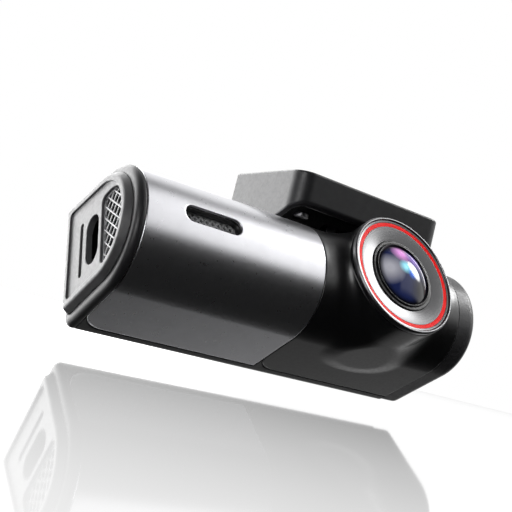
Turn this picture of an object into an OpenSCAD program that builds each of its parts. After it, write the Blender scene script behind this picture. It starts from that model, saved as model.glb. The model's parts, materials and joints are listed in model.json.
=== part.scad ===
// Windscreen dash camera: a D-section body with a metal sleeve and a large lens,
// tilting on a hinge under a wedge mount that is taped to the glass.
// Millimetres. The row frame has its origin at the centre of the adhesive face, +Z out of that face,
// +X along the camera and -Y towards the road. The camera body has its own frame: its origin is where
// the lens axis meets the nose axis, the lens looks along -Y, and the body's flat back faces +Y.

/* [Camera body] */
// Radius of the rounded nose
nose_r = 13.5; // [12.5:0.1:16.5]
// Distance from the nose axis to the flat back
body_depth = 17.6; // [16.5:0.1:22]
// Rise of the flat top towards the back, in degrees
top_slope = 5; // [3:0.5:7]
// Fall of the flat underside towards the back, in degrees
bottom_slope = 1.6; // [0:0.2:4]
// Radius of the two long back corners
corner_r = 2.0; // [1.7:0.1:2.4]
// Length of the metal sleeve
sleeve_l = 42.4; // [38:0.2:60]
// Length of the lens section, which the lens is centred in
section_l = 39.8; // [37:0.2:50]
// Length of the closed end cap
cap_l = 6.9; // [5:0.1:9]
// Length of the frame round the port end
frame_l = 1.9; // [1.6:0.1:3]
// How far the port plate stands out of that frame
plate_l = 1.5; // [1.2:0.1:2.4]

/* [Shells] */
// Wall of the plastic shells
wall = 1.5; // [1.2:0.1:1.8]
// Thickness of the metal sleeve
sleeve_t = 0.8; // [0.6:0.05:1.1]
// How far the rear shell wraps forward over the top and the underside
rear_rim = 3.4; // [3:0.1:5]
// Corner radius of the sleeve and of the lens section where they meet the rear shell
seam_r = 4.7; // [3:0.1:6]
// Gap at the seams between covers
seam_gap = 0.12; // [0.05:0.01:0.2]

/* [Lens] */
// Outer radius of the lens bezel
bezel_r = 14.2; // [13.6:0.1:15]
// How far the front of the bezel stands out beyond the nose
lens_proud = 3.15; // [2.5:0.05:6]
// Width of the bezel's rim
bezel_w = 0.75; // [0.5:0.05:1.2]
// Middle radius of the red accent ring
accent_r = 12.4; // [11:0.1:12.6]
// Width of the red accent ring
accent_w = 0.9; // [0.5:0.1:1.2]
// Outer radius of the rubber seal round the glass
seal_r = 8.5; // [8.2:0.1:9.5]
// Radius of the front glass
glass_r = 7.1; // [6:0.1:7.3]
// Height of the front glass's dome
dome_h = 2.1; // [1.2:0.1:2.8]
// Radius of the concave flare round the collar
flare_r = 3.2; // [2:0.1:4]

/* [Windows and ports] */
// Length of the sound window in the sleeve
window_l = 12.9; // [10:0.1:15]
// Height of the sound window
window_h = 3.6; // [2.6:0.1:4.4]
// Distance from the sleeve's port end to the middle of the window
window_x = 14.7; // [12:0.1:18]
// Length of the card slot
card_slot_l = 12.4; // [11.6:0.1:14]
// Width of the card slot
card_slot_w = 1.2; // [1:0.05:1.5]
// Distance of the card slot behind the nose axis
card_y = 8.4; // [8:0.1:9]
// Length of the plug recess
port_l = 10.8; // [10:0.1:12]
// Width of the plug recess
port_w = 5.2; // [4.8:0.1:5.6]
// Distance of the socket behind the nose axis
port_y = 3.5; // [3:0.1:4]
// Radius of the port end's grille opening
grille_r = 9.1; // [8:0.1:9.2]

/* [Wedge mount] */
// Length of the wedge along the camera
mount_w = 43.6; // [36:0.2:52]
// Depth of the wedge
mount_d = 29.3; // [26:0.1:35]
// Height of the wedge's front face
lip_h = 6.9; // [5.5:0.1:8.5]
// Wall of the wedge
mount_wall = 1.8; // [1.4:0.1:2.4]
// Radius of the wedge's two front upright corners
mount_corner_r = 4.0; // [3:0.1:6]
// Radius of the wedge's two back upright corners
mount_back_r = 1.2; // [0.6:0.1:3]
// Thickness of the adhesive pad
pad_t = 1.0; // [0.6:0.1:1.6]
// How far the pad stands out of its recess in the wedge's top
pad_proud = 0.3; // [0.2:0.1:0.5]
// Upward pitch of the camera in the mount, in degrees
pitch = 30; // [25:1:35]
// How far the wedge sits towards the port end of the lens axis
mount_shift = 1.6; // [0:0.1:5]

/* [Hinge] */
// Radius of the hinge screw's shank
hinge_pin_r = 1.5; // [1.2:0.1:2]
// Radius of the hinge eye
hinge_eye_r = 3.4; // [3:0.1:4]
// Width of the hinge eye
hinge_eye_w = 8; // [6:0.2:12]
// Thickness of each hinge ear
hinge_ear_t = 3; // [2:0.1:4]
// Running clearance round the shank
hinge_play = 0.05; // [0.03:0.01:0.1]
// Height of the hinge axis above the camera's top, where the nose ends
hinge_h = 5.7; // [5.4:0.1:7]
// Distance of the hinge axis behind the nose axis
hinge_back = 2.0; // [0:0.1:4]
// Clearance between the wedge's underside and the camera's top, where the nose ends
mount_gap = 2.3; // [1.8:0.1:3]
// Angle that the back half of the wedge's underside is relieved by, for the downward tilt
relief = 20; // [16:1:24]

/* [Boards] */
// Thickness of the main board
board_t = 1.2; // [0.8:0.1:1.6]
// Height of the main board
board_h = 21; // [18:0.5:22]
// Size of the square sensor board
sensor_board_w = 20; // [18:0.5:21]

/* [Fasteners] */
// Radius of a shell screw's thread
screw_r = 0.9; // [0.7:0.05:1.1]
// Radius of a shell screw's head
screw_head_r = 1.7; // [1.4:0.05:1.9]

/* [Hidden] */
$fn = 64;
eps = 0.01;

// Ends of the body's sections along X, in the body frame.
section_x0 = -section_l / 2;
section_x1 = section_l / 2;
sleeve_x0 = section_x0 - sleeve_l;
frame_x0 = sleeve_x0 - frame_l;
plate_x0 = frame_x0 - plate_l;
cap_x1 = section_x1 + cap_l;

// Unit normals of the flat top and of the flat underside, in the body's YZ plane.
top_n = [-sin(top_slope), cos(top_slope)];
bottom_n = [-sin(bottom_slope), -cos(bottom_slope)];
back_n = [1, 0];

// Depths below the outer surface.
sleeve_seat = sleeve_t + seam_gap / 2;
under_sleeve = sleeve_seat + wall;
seam_y = body_depth - rear_rim;

// Port plate.
plate_inset = 1.8;
plate_taper = 1.0;
plate_rim = 1.3;
plate_recess = 0.5;
plate_corner_r = 0.8;
floor_x = plate_x0 + plate_recess;

// Hinge axis in the body frame, and the body's place in the row frame.
hinge_y = hinge_back;
hinge_z = nose_r + hinge_h;
// Place of the wedge's underside in the body frame, measured from the hinge axis.
underside_drop = hinge_h - mount_gap;

// Hinge axis in the row frame: found from the wedge's lip, so that the lip ends on the underside plane.
lip_y = -mount_d / 2;
lip_z = -pad_proud - lip_h;
hinge_ahead = 12.1;
hinge_row_y = lip_y + hinge_ahead;
hinge_row_z = lip_z + underside_drop / cos(pitch) - hinge_ahead * tan(pitch);

// Where the wedge's underside turns up, just behind the hinge axis.
ridge_back = 1.6;
function from_hinge(angle, along, down) = [
    hinge_row_y + along * cos(angle) + down * -sin(angle),
    hinge_row_z - along * sin(angle) - down * cos(angle)
];
ridge = from_hinge(pitch, ridge_back, underside_drop);
back_angle = pitch - relief;
back_y = mount_d / 2;
back_z = ridge[1] - (back_y - ridge[0]) * tan(back_angle);

// Main board: it stands behind the card socket, on the front shell's posts.
board_y = 10.2;
board_x0 = sleeve_x0 + 4.5;
board_x1 = section_x1 - 1.5;
post_z = nose_r - 4.5;
post_x = [sleeve_x0 + 7.8, section_x1 - 4.2];
post_r = 2.1;
post_fit = 0.25;

// Lens stack along the lens axis. Each value is a distance from the nose axis towards the road.
lens_front = nose_r + lens_proud;
bezel_t = 1.3;
collar_front = lens_front - bezel_t;
face_ring_t = 1.2;
face_front = lens_front - 0.3;
face_dish = 0.7;
glass_edge = lens_front - 0.75;
retainer_r = glass_r + 0.55;
barrel_head_back = lens_front - 7.6;
// Radius that the face ring is let into, and how far back the collar's bore reaches.
seat_r = bezel_r - bezel_w;
bore_back = 5;
thread_r = 6.0;
barrel_back = 1.6;
sensor_y = 2.2;
sensor_t = 1.0;
sensor_board_t = 1.0;
sensor_board_y = sensor_y + sensor_t;

// ---------------------------------------------------------------- helpers

// Places body-frame geometry in the row frame at the rest pose.
module on_body() {
    translate([mount_shift, hinge_row_y, hinge_row_z]) rotate([-pitch, 0, 0]) translate([0, -hinge_y, -hinge_z])
        children();
}

// Extrudes a YZ outline from x0 to x1.
module along_x(x0, x1) {
    translate([x0, 0, 0]) rotate([90, 0, 90]) linear_extrude(x1 - x0) children();
}

// Extrudes an XZ outline from y0 to y1.
module along_y(y0, y1) {
    translate([0, y1, 0]) rotate([90, 0, 0]) linear_extrude(y1 - y0) children();
}

// A cylinder about the lens axis, between two distances towards the road.
module lens_disc(r, near, far) {
    rotate([90, 0, 0]) translate([0, 0, near]) cylinder(r = r, h = far - near);
}

// Turns a profile of [radius, distance towards the road] about the lens axis.
module lens_turned(points) {
    rotate([90, 0, 0]) rotate_extrude() polygon(points);
}

function corner_centre(n, inset, r) =
    let (y = body_depth - inset - r) [y, (nose_r - inset - r - n[0] * y) / n[1]];

// The body's D outline, drawn inside its outer surface by an inset.
module d_shape(inset = 0, r = undef) {
    corner = is_undef(r) ? max(corner_r - inset, 0.4) : r;
    nose = nose_r - inset;
    top = corner_centre(top_n, inset, corner);
    bottom = corner_centre(bottom_n, inset, corner);
    circle(nose);
    translate(top) circle(corner, $fn = 32);
    translate(bottom) circle(corner, $fn = 32);
    polygon([
        [0, 0], nose * bottom_n, bottom + corner * bottom_n, bottom + corner * back_n,
        top + corner * back_n, top + corner * top_n, nose * top_n
    ]);
}

// A tube with the D outline, between two depths below the outer surface.
module d_tube(x0, x1, outer, inner) {
    difference() {
        along_x(x0, x1) d_shape(outer);
        along_x(x0 - eps, x1 + eps) d_shape(inner);
    }
}

// The plan outline of a cover that ends at the seam, with its two back corners rounded.
module cover_plan(x0, x1, y1, r0, r1) {
    polygon([
        [x0, -3 * nose_r], [x1, -3 * nose_r], [x1, y1 - r1], [x1 - max(r1, eps), y1],
        [x0 + max(r0, eps), y1], [x0, y1 - r0]
    ]);
    if (r0 > 0) translate([x0 + r0, y1 - r0]) circle(r0);
    if (r1 > 0) translate([x1 - r1, y1 - r1]) circle(r1);
}

module cover_block(x0, x1, y1, r0, r1) {
    translate([0, 0, -3 * nose_r]) linear_extrude(6 * nose_r) cover_plan(x0, x1, y1, r0, r1);
}

// A slot outline with round ends, centred on the origin, long along X.
module slot(l, w) {
    union() {
        square([l - w, w], center = true);
        for (side = [-1, 1]) translate([side * (l - w) / 2, 0]) circle(w / 2, $fn = 32);
    }
}

module box_between(low, high) {
    translate(low) cube(high - low);
}

// Repeats its child at the four posts that hold the two shells and the main board together.
module at_posts() {
    for (x = post_x, side = [-1, 1]) translate([x, 0, side * post_z]) children();
}

// A cylinder along Y, from y0 to y1.
module rod_y(r, y0, y1) {
    translate([0, y0, 0]) rotate([-90, 0, 0]) cylinder(r = r, h = y1 - y0);
}

// A cylinder along X, from x0 to x1.
module rod_x(r, x0, x1) {
    translate([x0, 0, 0]) rotate([0, 90, 0]) cylinder(r = r, h = x1 - x0);
}

// ---------------------------------------------------------------- wedge mount, in the row frame

// Side profile of the wedge in the YZ plane: its front face, its top and its angled underside.
module wedge_profile(inset = 0) {
    polygon([
        [lip_y + inset, -pad_proud - inset], [back_y - inset, -pad_proud - inset],
        [back_y - inset, back_z], [ridge[0], ridge[1]], [lip_y + inset, lip_z]
    ]);
}

module wedge_plan(inset = 0) {
    w = mount_w - 2 * inset;
    d = mount_d - 2 * inset;
    front_r = mount_corner_r - inset;
    back_r = max(mount_back_r - inset, 0.4);
    union() {
        translate([-w / 2 + front_r, -d / 2]) square([w - 2 * front_r, d / 2]);
        translate([-w / 2, -d / 2 + front_r]) square([w, d - front_r - back_r]);
        translate([-w / 2 + back_r, 0]) square([w - 2 * back_r, d / 2]);
        for (side = [-1, 1]) {
            translate([side * (w / 2 - front_r), -d / 2 + front_r]) circle(front_r);
            translate([side * (w / 2 - back_r), d / 2 - back_r]) circle(back_r);
        }
    }
}

wedge_h = 40;
// The pad lies in a recess in the wedge's top, in from its edge and with a little room round it.
pad_inset = 2.4;
pad_fit = 0.1;
cover_t = 1.4;
cover_recess = 0.9;
cover_fit = 0.1;
ear_x = hinge_eye_w / 2 + 0.6;
ear_r = hinge_eye_r + 0.4;
cover_boss_r = 2.2;
cover_boss_x = mount_w / 2 - mount_wall - 4.2;
// Front and back bosses for the base cover's screws.
cover_boss_y = [hinge_row_y - 6.5, hinge_row_y + 8.5];

// Height of the wedge's underside at a place along Y.
function underside_z(y) = y < ridge[0]
    ? lip_z - (y - lip_y) * (lip_z - ridge[1]) / (ridge[0] - lip_y)
    : ridge[1] - (y - ridge[0]) * tan(back_angle);

// A slab that follows the underside, from one depth inside the wedge to another.
module underside_slab(up0, up1, x0, x1, y0, y1) {
    along_x(x0, x1) polygon([
        [y0, underside_z(y0) + up0], [ridge[0], ridge[1] + up0], [y1, underside_z(y1) + up0],
        [y1, underside_z(y1) + up1], [ridge[0], ridge[1] + up1], [y0, underside_z(y0) + up1]
    ]);
}

module mount_shell() {
    color([0.16, 0.16, 0.17]) difference() {
        union() {
            difference() {
                intersection() {
                    translate([0, 0, -wedge_h]) linear_extrude(wedge_h - pad_proud) wedge_plan();
                    along_x(-mount_w / 2 - 1, mount_w / 2 + 1) wedge_profile();
                }
                translate([0, 0, -wedge_h - 1]) linear_extrude(wedge_h + 1 - pad_t - mount_wall)
                    wedge_plan(mount_wall);
                translate([0, 0, -pad_t]) linear_extrude(pad_t) wedge_plan(pad_inset - pad_fit);
            }
            for (side = [-1, 1]) translate([mount_shift, 0, 0]) hinge_ear(side);
            cover_bosses();
        }
        translate([mount_shift, hinge_row_y, hinge_row_z])
            rod_x(hinge_pin_r + hinge_play, -ear_x - hinge_ear_t - 1, ear_x + hinge_ear_t + 1);
        translate([mount_shift, hinge_row_y, hinge_row_z]) nut_pocket();
        cover_boss_holes();
    }
}

// One ear: an eye round the hinge axis, joined to the wedge's ceiling.
module hinge_ear(side) {
    x0 = side > 0 ? ear_x : -ear_x - hinge_ear_t;
    translate([0, hinge_row_y, hinge_row_z]) {
        rod_x(ear_r, x0, x0 + hinge_ear_t);
        box_between([x0, -ear_r, 0], [x0 + hinge_ear_t, ear_r, -pad_t - mount_wall / 2 - hinge_row_z]);
    }
}

// Six-sided pocket that keeps the hinge nut from turning.
module nut_pocket() {
    rotate([0, 90, 0]) translate([0, 0, ear_x + hinge_ear_t - nut_sunk])
        cylinder(r = nut_r + 0.1, h = nut_sunk + 1, $fn = 6);
}

module at_cover_bosses() {
    for (side = [-1, 1], y = cover_boss_y) translate([side * cover_boss_x, y, underside_z(y)]) children();
}

module cover_bosses() {
    for (side = [-1, 1], y = cover_boss_y)
        translate([side * cover_boss_x, y, underside_z(y) + cover_recess + cover_t + boss_slack])
            cylinder(r = cover_boss_r, h = -pad_t - mount_wall / 2 - underside_z(y) - cover_recess - cover_t - boss_slack,
                $fn = 32);
}

boss_slack = 1.3;

module cover_boss_holes() {
    at_cover_bosses() translate([0, 0, cover_recess]) cylinder(r = screw_r, h = cover_screw_l + 0.6, $fn = 32);
}

// The lug's slot in the base cover, wide enough for the whole tilt.
lug_slot_y = [-6.4, 6.6];

module mount_base_cover() {
    plan_inset = mount_wall + cover_fit;
    color([0.05, 0.05, 0.055]) difference() {
        intersection() {
            translate([0, 0, -wedge_h]) linear_extrude(wedge_h) wedge_plan(plan_inset);
            underside_slab(cover_recess, cover_recess + cover_t, -mount_w, mount_w, lip_y, back_y);
        }
        translate([mount_shift, hinge_row_y, -wedge_h])
            box_between([-ear_x - hinge_ear_t - 2.9, lug_slot_y[0], 0], [ear_x + hinge_ear_t + 3.4, lug_slot_y[1], wedge_h]);
        at_cover_bosses() {
            cylinder(r = screw_r + 0.2, h = cover_recess + cover_t + 2, $fn = 32);
            cylinder(r = screw_head_r + 0.15, h = cover_recess + cover_head_sunk, $fn = 32);
        }
    }
}

cover_screw_l = 5.2;
cover_head_sunk = 0.6;

module mount_cover_screws() {
    color([0.25, 0.25, 0.26]) at_cover_bosses() translate([0, 0, cover_recess + cover_head_sunk]) {
        pan_head(screw_head_r, 0.9);
        cylinder(r = screw_r - 0.02, h = cover_screw_l - cover_head_sunk, $fn = 32);
    }
}

// A screw head that hangs below z = 0, with a cross recess.
module pan_head(r, h) {
    difference() {
        translate([0, 0, -h]) cylinder(r = r, h = h, $fn = 32);
        for (turn = [0, 90]) rotate([0, 0, turn]) translate([-0.6 * r, -0.15 * r, -h - eps]) cube([1.2 * r, 0.3 * r, h / 2]);
    }
}

module adhesive_pad() {
    color([0.08, 0.08, 0.08]) translate([0, 0, -pad_t]) linear_extrude(pad_t) wedge_plan(pad_inset);
}

// ---------------------------------------------------------------- hinge

nut_r = 2.7;
nut_t = 2.0;
nut_sunk = 1.0;
head_r = 2.8;
head_t = 1.8;

module hinge_screw() {
    x0 = -ear_x - hinge_ear_t;
    x1 = ear_x + hinge_ear_t - nut_sunk + nut_t;
    color([0.35, 0.35, 0.37]) translate([mount_shift, hinge_row_y, hinge_row_z]) difference() {
        union() {
            rod_x(hinge_pin_r, x0 - head_t / 2, x1 + 0.4);
            rod_x(head_r, x0 - head_t, x0);
        }
        rotate([0, 90, 0]) translate([0, 0, x0 - head_t - eps]) cylinder(r = 1.1, h = 0.9, $fn = 6);
    }
}

module hinge_nut() {
    x0 = ear_x + hinge_ear_t - nut_sunk;
    color([0.55, 0.55, 0.57]) translate([mount_shift, hinge_row_y, hinge_row_z]) difference() {
        rotate([0, 90, 0]) translate([0, 0, x0]) cylinder(r = nut_r, h = nut_t, $fn = 6);
        rod_x(hinge_pin_r, x0 - 1, x0 + nut_t + 1);
    }
}

module friction_washers() {
    washer_t = 0.4;
    for (side = [-1, 1]) color([0.5, 0.48, 0.42]) translate([mount_shift, hinge_row_y, hinge_row_z]) difference() {
        x0 = side > 0 ? ear_x - washer_t : -ear_x;
        rod_x(hinge_eye_r - 0.3, x0, x0 + washer_t);
        rod_x(hinge_pin_r + hinge_play, x0 - 1, x0 + washer_t + 1);
    }
}

lug_l = 6.0;
lug_w = hinge_eye_w - 0.8;
bracket_plate_t = 1.5;
bracket_plate_w = 18;
bracket_plate_l = 10;
// The plate lies under the top wall, parallel to the flat top.
bracket_top = wall + 0.05;

// Places its child on the flat top under the hinge, with +Z out of the surface.
module on_top() {
    rotate([top_slope, 0, 0]) translate([0, hinge_y, nose_r]) children();
}

module hinge_bracket() {
    hole = hinge_pin_r + hinge_play;
    w = hinge_eye_w;
    color([0.09, 0.09, 0.1]) on_body() difference() {
        union() {
            translate([0, hinge_y, hinge_z]) rod_x(hinge_eye_r, -w / 2, w / 2);
            on_top() {
                box_between([-lug_w / 2, -lug_l / 2, -bracket_top - bracket_plate_t / 2], [lug_w / 2, lug_l / 2, hinge_h]);
                box_between([-bracket_plate_w / 2, -lug_l / 2, -bracket_top - bracket_plate_t],
                    [bracket_plate_w / 2, bracket_plate_l - lug_l / 2, -bracket_top]);
            }
        }
        translate([0, hinge_y, hinge_z]) rod_x(hole, -w, w);
        on_top() at_bracket_screws() translate([0, 0, -bracket_top - 3]) cylinder(r = screw_r + 0.15, h = 5, $fn = 32);
    }
}

module at_bracket_screws() {
    for (side = [-1, 1]) translate([side * (bracket_plate_w / 2 - 2.2), 0, 0]) children();
}

module hinge_bracket_screws() {
    color([0.6, 0.6, 0.62]) on_body() on_top() at_bracket_screws() translate([0, 0, -bracket_top - bracket_plate_t]) {
        pan_head(1.5, 0.8);
        cylinder(r = screw_r - 0.05, h = bracket_plate_t + 1.1, $fn = 32);
    }
}

// ---------------------------------------------------------------- covers, in the body frame

module metal_sleeve() {
    color([0.36, 0.36, 0.38]) on_body() difference() {
        intersection() {
            d_tube(sleeve_x0, section_x0, 0, sleeve_t);
            cover_block(sleeve_x0 + seam_gap / 2, section_x0 - seam_gap / 2, seam_y, seam_r, 0);
        }
        along_y(-2 * nose_r, 0) translate([sleeve_x0 + window_x, 0]) slot(window_l, window_h);
    }
}

// The collar that carries the lens: a barrel with a concave flare where it leaves the nose.
module collar() {
    flare_top = collar_front - 0.1;
    intersection() {
        union() {
            lens_disc(bezel_r, -2, collar_front);
            rotate([90, 0, 0]) rotate_extrude() difference() {
                translate([bezel_r - 1, 0]) square([flare_r + 1, flare_top]);
                translate([bezel_r + flare_r, flare_top]) circle(flare_r);
            }
        }
        box_between([section_x0, -lens_front, -nose_r - 0.4], [section_x1, 0, max(nose_r + 0.7, bezel_r)]);
    }
}

// How far the wall under the sleeve runs on inside the lens section.
shell_lap = 2;
bore_r = bezel_r - wall - 0.2;
ledge_r = thread_r + 2.9;

module front_shell() {
    color([0.03, 0.03, 0.035]) on_body() difference() {
        union() {
            difference() {
                union() {
                    intersection() {
                        along_x(section_x0, section_x1) d_shape();
                        cover_block(section_x0 + seam_gap / 2, section_x1, seam_y, seam_r, 0);
                    }
                    collar();
                }
                along_x(section_x0 - 1, section_x1 + 1) d_shape(wall);
                lens_disc(bore_r, bore_back, lens_front + 1);
                lens_disc(seat_r, face_back, lens_front + 1);
            }
            intersection() {
                d_tube(sleeve_x0, section_x0 - seam_gap, sleeve_seat, under_sleeve);
                cover_block(sleeve_x0 + seam_gap, section_x0, seam_y - 1, seam_r - 1, 0);
            }
            intersection() {
                d_tube(section_x0 - 1, section_x0 + shell_lap, sleeve_seat, under_sleeve);
                cover_block(section_x0 - 2, section_x0 + shell_lap + 1, seam_y - seam_r - 0.4, 0, 0);
            }
            difference() {
                lens_disc(bore_r + eps, lens_front - 9.7, lens_front - 7.9);
                lens_disc(ledge_r, 0, lens_front);
            }
            posts();
        }
        at_posts() rod_y(screw_r, board_y - 9, board_y + 1);
        along_y(-2 * nose_r, 0) translate([sleeve_x0 + window_x, 0]) slot(window_l - 0.4, window_h - 0.4);
        on_top() {
            box_between([-lug_w / 2 - 0.15, -lug_l / 2 - 0.15, -wall - 2], [lug_w / 2 + 0.15, lug_l / 2 + 0.15, 1]);
            at_bracket_screws() translate([0, 0, -wall - 1]) cylinder(r = screw_r, h = 1.5 + 0.7, $fn = 32);
        }
    }
}

// Posts that grow out of the nose's wall and stop at the main board.
module posts() {
    intersection() {
        at_posts() rod_y(post_r, -nose_r, board_y);
        union() {
            along_x(sleeve_x0 + 1, section_x0) d_shape(under_sleeve - 0.3);
            along_x(section_x0, section_x1 - 1) d_shape(wall - 0.3);
        }
    }
}

rear_boss_r = 2.4;
rear_head_depth = 1.6;

module rear_shell() {
    color([0.045, 0.045, 0.05]) on_body() difference() {
        union() {
            difference() {
                d_tube(sleeve_x0, section_x1, 0, wall);
                cover_block(sleeve_x0 - seam_gap / 2, section_x0, seam_y + seam_gap, seam_r + seam_gap, 0);
                cover_block(section_x0 - seam_gap / 2, section_x1 + 1, seam_y + seam_gap, seam_r + seam_gap, 0);
            }
            rear_bosses();
        }
        at_posts() {
            rod_y(screw_r + 0.15, board_y, body_depth + 1);
            rod_y(screw_head_r + 0.15, body_depth - rear_head_depth, body_depth + 1);
        }
    }
}

// Bosses on the rear shell that press the main board onto the front shell's posts.
module rear_bosses() {
    at_posts() rod_y(rear_boss_r, board_y + board_t, body_depth - wall / 2);
}

// The frame round the port end: a rounded ring that continues the body's outline.
module end_frame() {
    slices = [[sleeve_x0 - 0.5, 0.04], [sleeve_x0 - 1.2, 0.35], [frame_x0 + 0.1, 1.3], [frame_x0, 1.6]];
    color([0.05, 0.05, 0.055]) on_body() difference() {
        union() {
            along_x(sleeve_x0 - 0.6, sleeve_x0) d_shape();
            hull() for (s = slices) along_x(s[0], s[0] + 0.05) d_shape(s[1], $fn = 48);
            along_x(sleeve_x0 - 0.3, sleeve_x0 + 3) d_shape(under_sleeve + 0.1);
        }
        along_x(frame_x0 - 1, sleeve_x0 + 4) d_shape(plate_seat, plate_corner_r);
    }
}

plate_seat = under_sleeve + 1.0;
spigot_gap = 0.1;

// The plate at the port end: tapered, with a raised rim round a recessed face.
module port_plate() {
    color([0.13, 0.13, 0.14]) on_body() difference() {
        union() {
            hull() {
                along_x(frame_x0 - 0.05, frame_x0) d_shape(plate_inset, plate_corner_r, $fn = 48);
                along_x(plate_x0, plate_x0 + 0.05) d_shape(plate_inset + plate_taper, plate_corner_r, $fn = 48);
            }
            along_x(frame_x0 - plate_l / 3, frame_x0 + plate_back) d_shape(plate_seat + spigot_gap, plate_corner_r);
        }
        along_x(plate_x0 - 1, floor_x) d_shape(plate_inset + plate_taper + plate_rim, 1);
        along_x(plate_x0 - 1, sleeve_x0 + 2) grille_opening();
        along_x(floor_x + grille_sunk, sleeve_x0 + 2) grille_border(0.35);
        along_x(plate_x0 - 1, sleeve_x0 + 2) translate([card_y, slot_z]) rotate(90) slot(card_slot_l, card_slot_w);
        along_x(plate_x0 - 1, sleeve_x0 + 2) translate([port_y, slot_z]) rotate(90) slot(port_l, port_w);
        along_x(floor_x + plate_floor, sleeve_x0 + 2) d_shape(plate_seat + spigot_gap + 0.5, 0.4);
    }
}

plate_back = 1.6;
plate_floor = 1.4;
grille_sunk = 0.6;
slot_z = -0.7;
grille_edge = -0.4;

// Leaf-shaped opening: a round nose side and a straight side next to the socket.
module grille_opening() {
    intersection() {
        circle(grille_r);
        translate([grille_edge - grille_r, -8.9]) square([grille_r, 15.6]);
    }
}

// Woven-look grille of crossed diagonal bars behind the port plate's opening.
module end_grille() {
    bar = 0.28;
    pitch_a = 1.9;
    pitch_b = 1.7;
    span = 2.4 * grille_r;
    x0 = floor_x + grille_sunk;
    color([0.3, 0.3, 0.31]) on_body() intersection() {
        union() {
            for (i = [-7:7]) along_x(x0, x0 + 0.45) rotate(45) translate([-span / 2, i * pitch_a - bar / 2])
                square([span, bar]);
            for (i = [-10:10]) along_x(x0 + 0.1, x0 + 0.35) rotate(45) translate([i * pitch_b - bar / 2, -span / 2])
                square([bar, span]);
            along_x(x0, x0 + 0.45) difference() {
                grille_border(0.3);
                grille_border(-0.3);
            }
        }
        along_x(x0 - 1, x0 + 1) grille_border(0.3);
    }
}

// The grille opening's outline, grown by a margin.
module grille_border(grow) {
    intersection() {
        circle(grille_r + grow);
        translate([grille_edge - grille_r - grow, -8.9 - grow]) square([grille_r + 2 * grow, 15.6 + 2 * grow]);
    }
}

module end_cap() {
    slices = [[section_x1 + 0.2, 0.25], [cap_x1 - 2.8, 0.25], [cap_x1 - 1.2, 0.75], [cap_x1 - 0.3, 1.7], [cap_x1 - 0.05, 2.6]];
    color([0.07, 0.07, 0.075]) on_body() difference() {
        union() {
            hull() for (s = slices) along_x(s[0], s[0] + 0.05) d_shape(s[1], max(corner_r - s[1], 0.6), $fn = 48);
            along_x(section_x1 - 1.6, section_x1 + 0.8) d_shape(wall + spigot_gap);
        }
        along_x(section_x1 - 2, cap_x1 - wall - 0.3) d_shape(wall + spigot_gap + 1.1);
    }
}

// Insert behind the sleeve's window: a tray with a row of crossed bars.
module sound_window_grille() {
    floor_y = nose_r - under_sleeve - 0.8;
    depth = 0.5;
    bar = 0.42;
    cross = 2.7;
    count = 4;
    color([0.22, 0.22, 0.23]) on_body() translate([sleeve_x0 + window_x, 0, 0]) intersection() {
        union() {
            for (i = [-count:count], turn = [-48, 48])
                along_y(-floor_y - depth, -floor_y) translate([i * cross / 2, 0]) rotate(turn)
                    square([3 * window_h, bar], center = true);
            along_y(-floor_y - depth, -floor_y) difference() {
                slot(window_l + 1.2, window_h + 1.2);
                slot(window_l - 0.3, window_h - 0.3);
            }
        }
        along_y(-floor_y - 1, -floor_y + 1) slot(window_l + 1.2, window_h + 1.2);
    }
}

// ---------------------------------------------------------------- lens

module lens_bezel() {
    outer = bezel_r - 0.05;
    color([0.2, 0.2, 0.21]) on_body() lens_turned([
        [seat_r, collar_front], [outer, collar_front], [outer, lens_front - 0.2], [outer - 0.2, lens_front],
        [seat_r + 0.15, lens_front], [seat_r, lens_front - 0.15]
    ]);
}

face_back = face_front - face_ring_t - 0.15;

// Height of the dished face at a radius.
function face_at(r) = face_front - face_dish * (seat_r - r) / (seat_r - seal_r);

module lens_face_ring() {
    outer = seat_r - 0.06;
    inner = seal_r + 0.05;
    groove = 0.35;
    r0 = accent_r - accent_w / 2;
    r1 = accent_r + accent_w / 2;
    color([0.78, 0.78, 0.79]) on_body() lens_turned([
        [outer, face_back], [outer, face_at(outer)], [r1, face_at(r1)], [r1, face_at(r1) - groove],
        [r0, face_at(r0) - groove], [r0, face_at(r0)], [inner, face_at(inner)], [inner, face_at(inner) - face_ring_t],
        [outer - 1.2, face_back]
    ]);
}

module accent_ring() {
    r0 = accent_r - accent_w / 2 + 0.02;
    r1 = accent_r + accent_w / 2 - 0.02;
    color([0.85, 0.05, 0.04]) on_body() lens_turned([
        [r0, face_at(r0) - 0.34], [r1, face_at(r1) - 0.34], [r1, face_at(r1)], [r0, face_at(r0)]
    ]);
}

module lens_seal() {
    inner = retainer_r + 0.02;
    front = face_at(seal_r) + 0.25;
    color([0.02, 0.02, 0.02]) on_body() lens_turned([
        [seal_r, front - 3.4], [seal_r, front - 0.15], [seal_r - 0.15, front], [inner + 0.15, front],
        [inner, front - 0.15], [inner, front - 3.4]
    ]);
}

module lens_retainer() {
    front = glass_edge + 0.35;
    color([0.04, 0.04, 0.045]) on_body() lens_turned([
        [retainer_r, front - 3.0], [retainer_r, front - 0.25], [retainer_r - 0.2, front], [glass_r - 0.1, front - 0.1],
        [glass_r + 0.02, front - 0.35], [glass_r + 0.02, front - 3.0]
    ]);
}

dome_r = (glass_r * glass_r + dome_h * dome_h) / (2 * dome_h);

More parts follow.
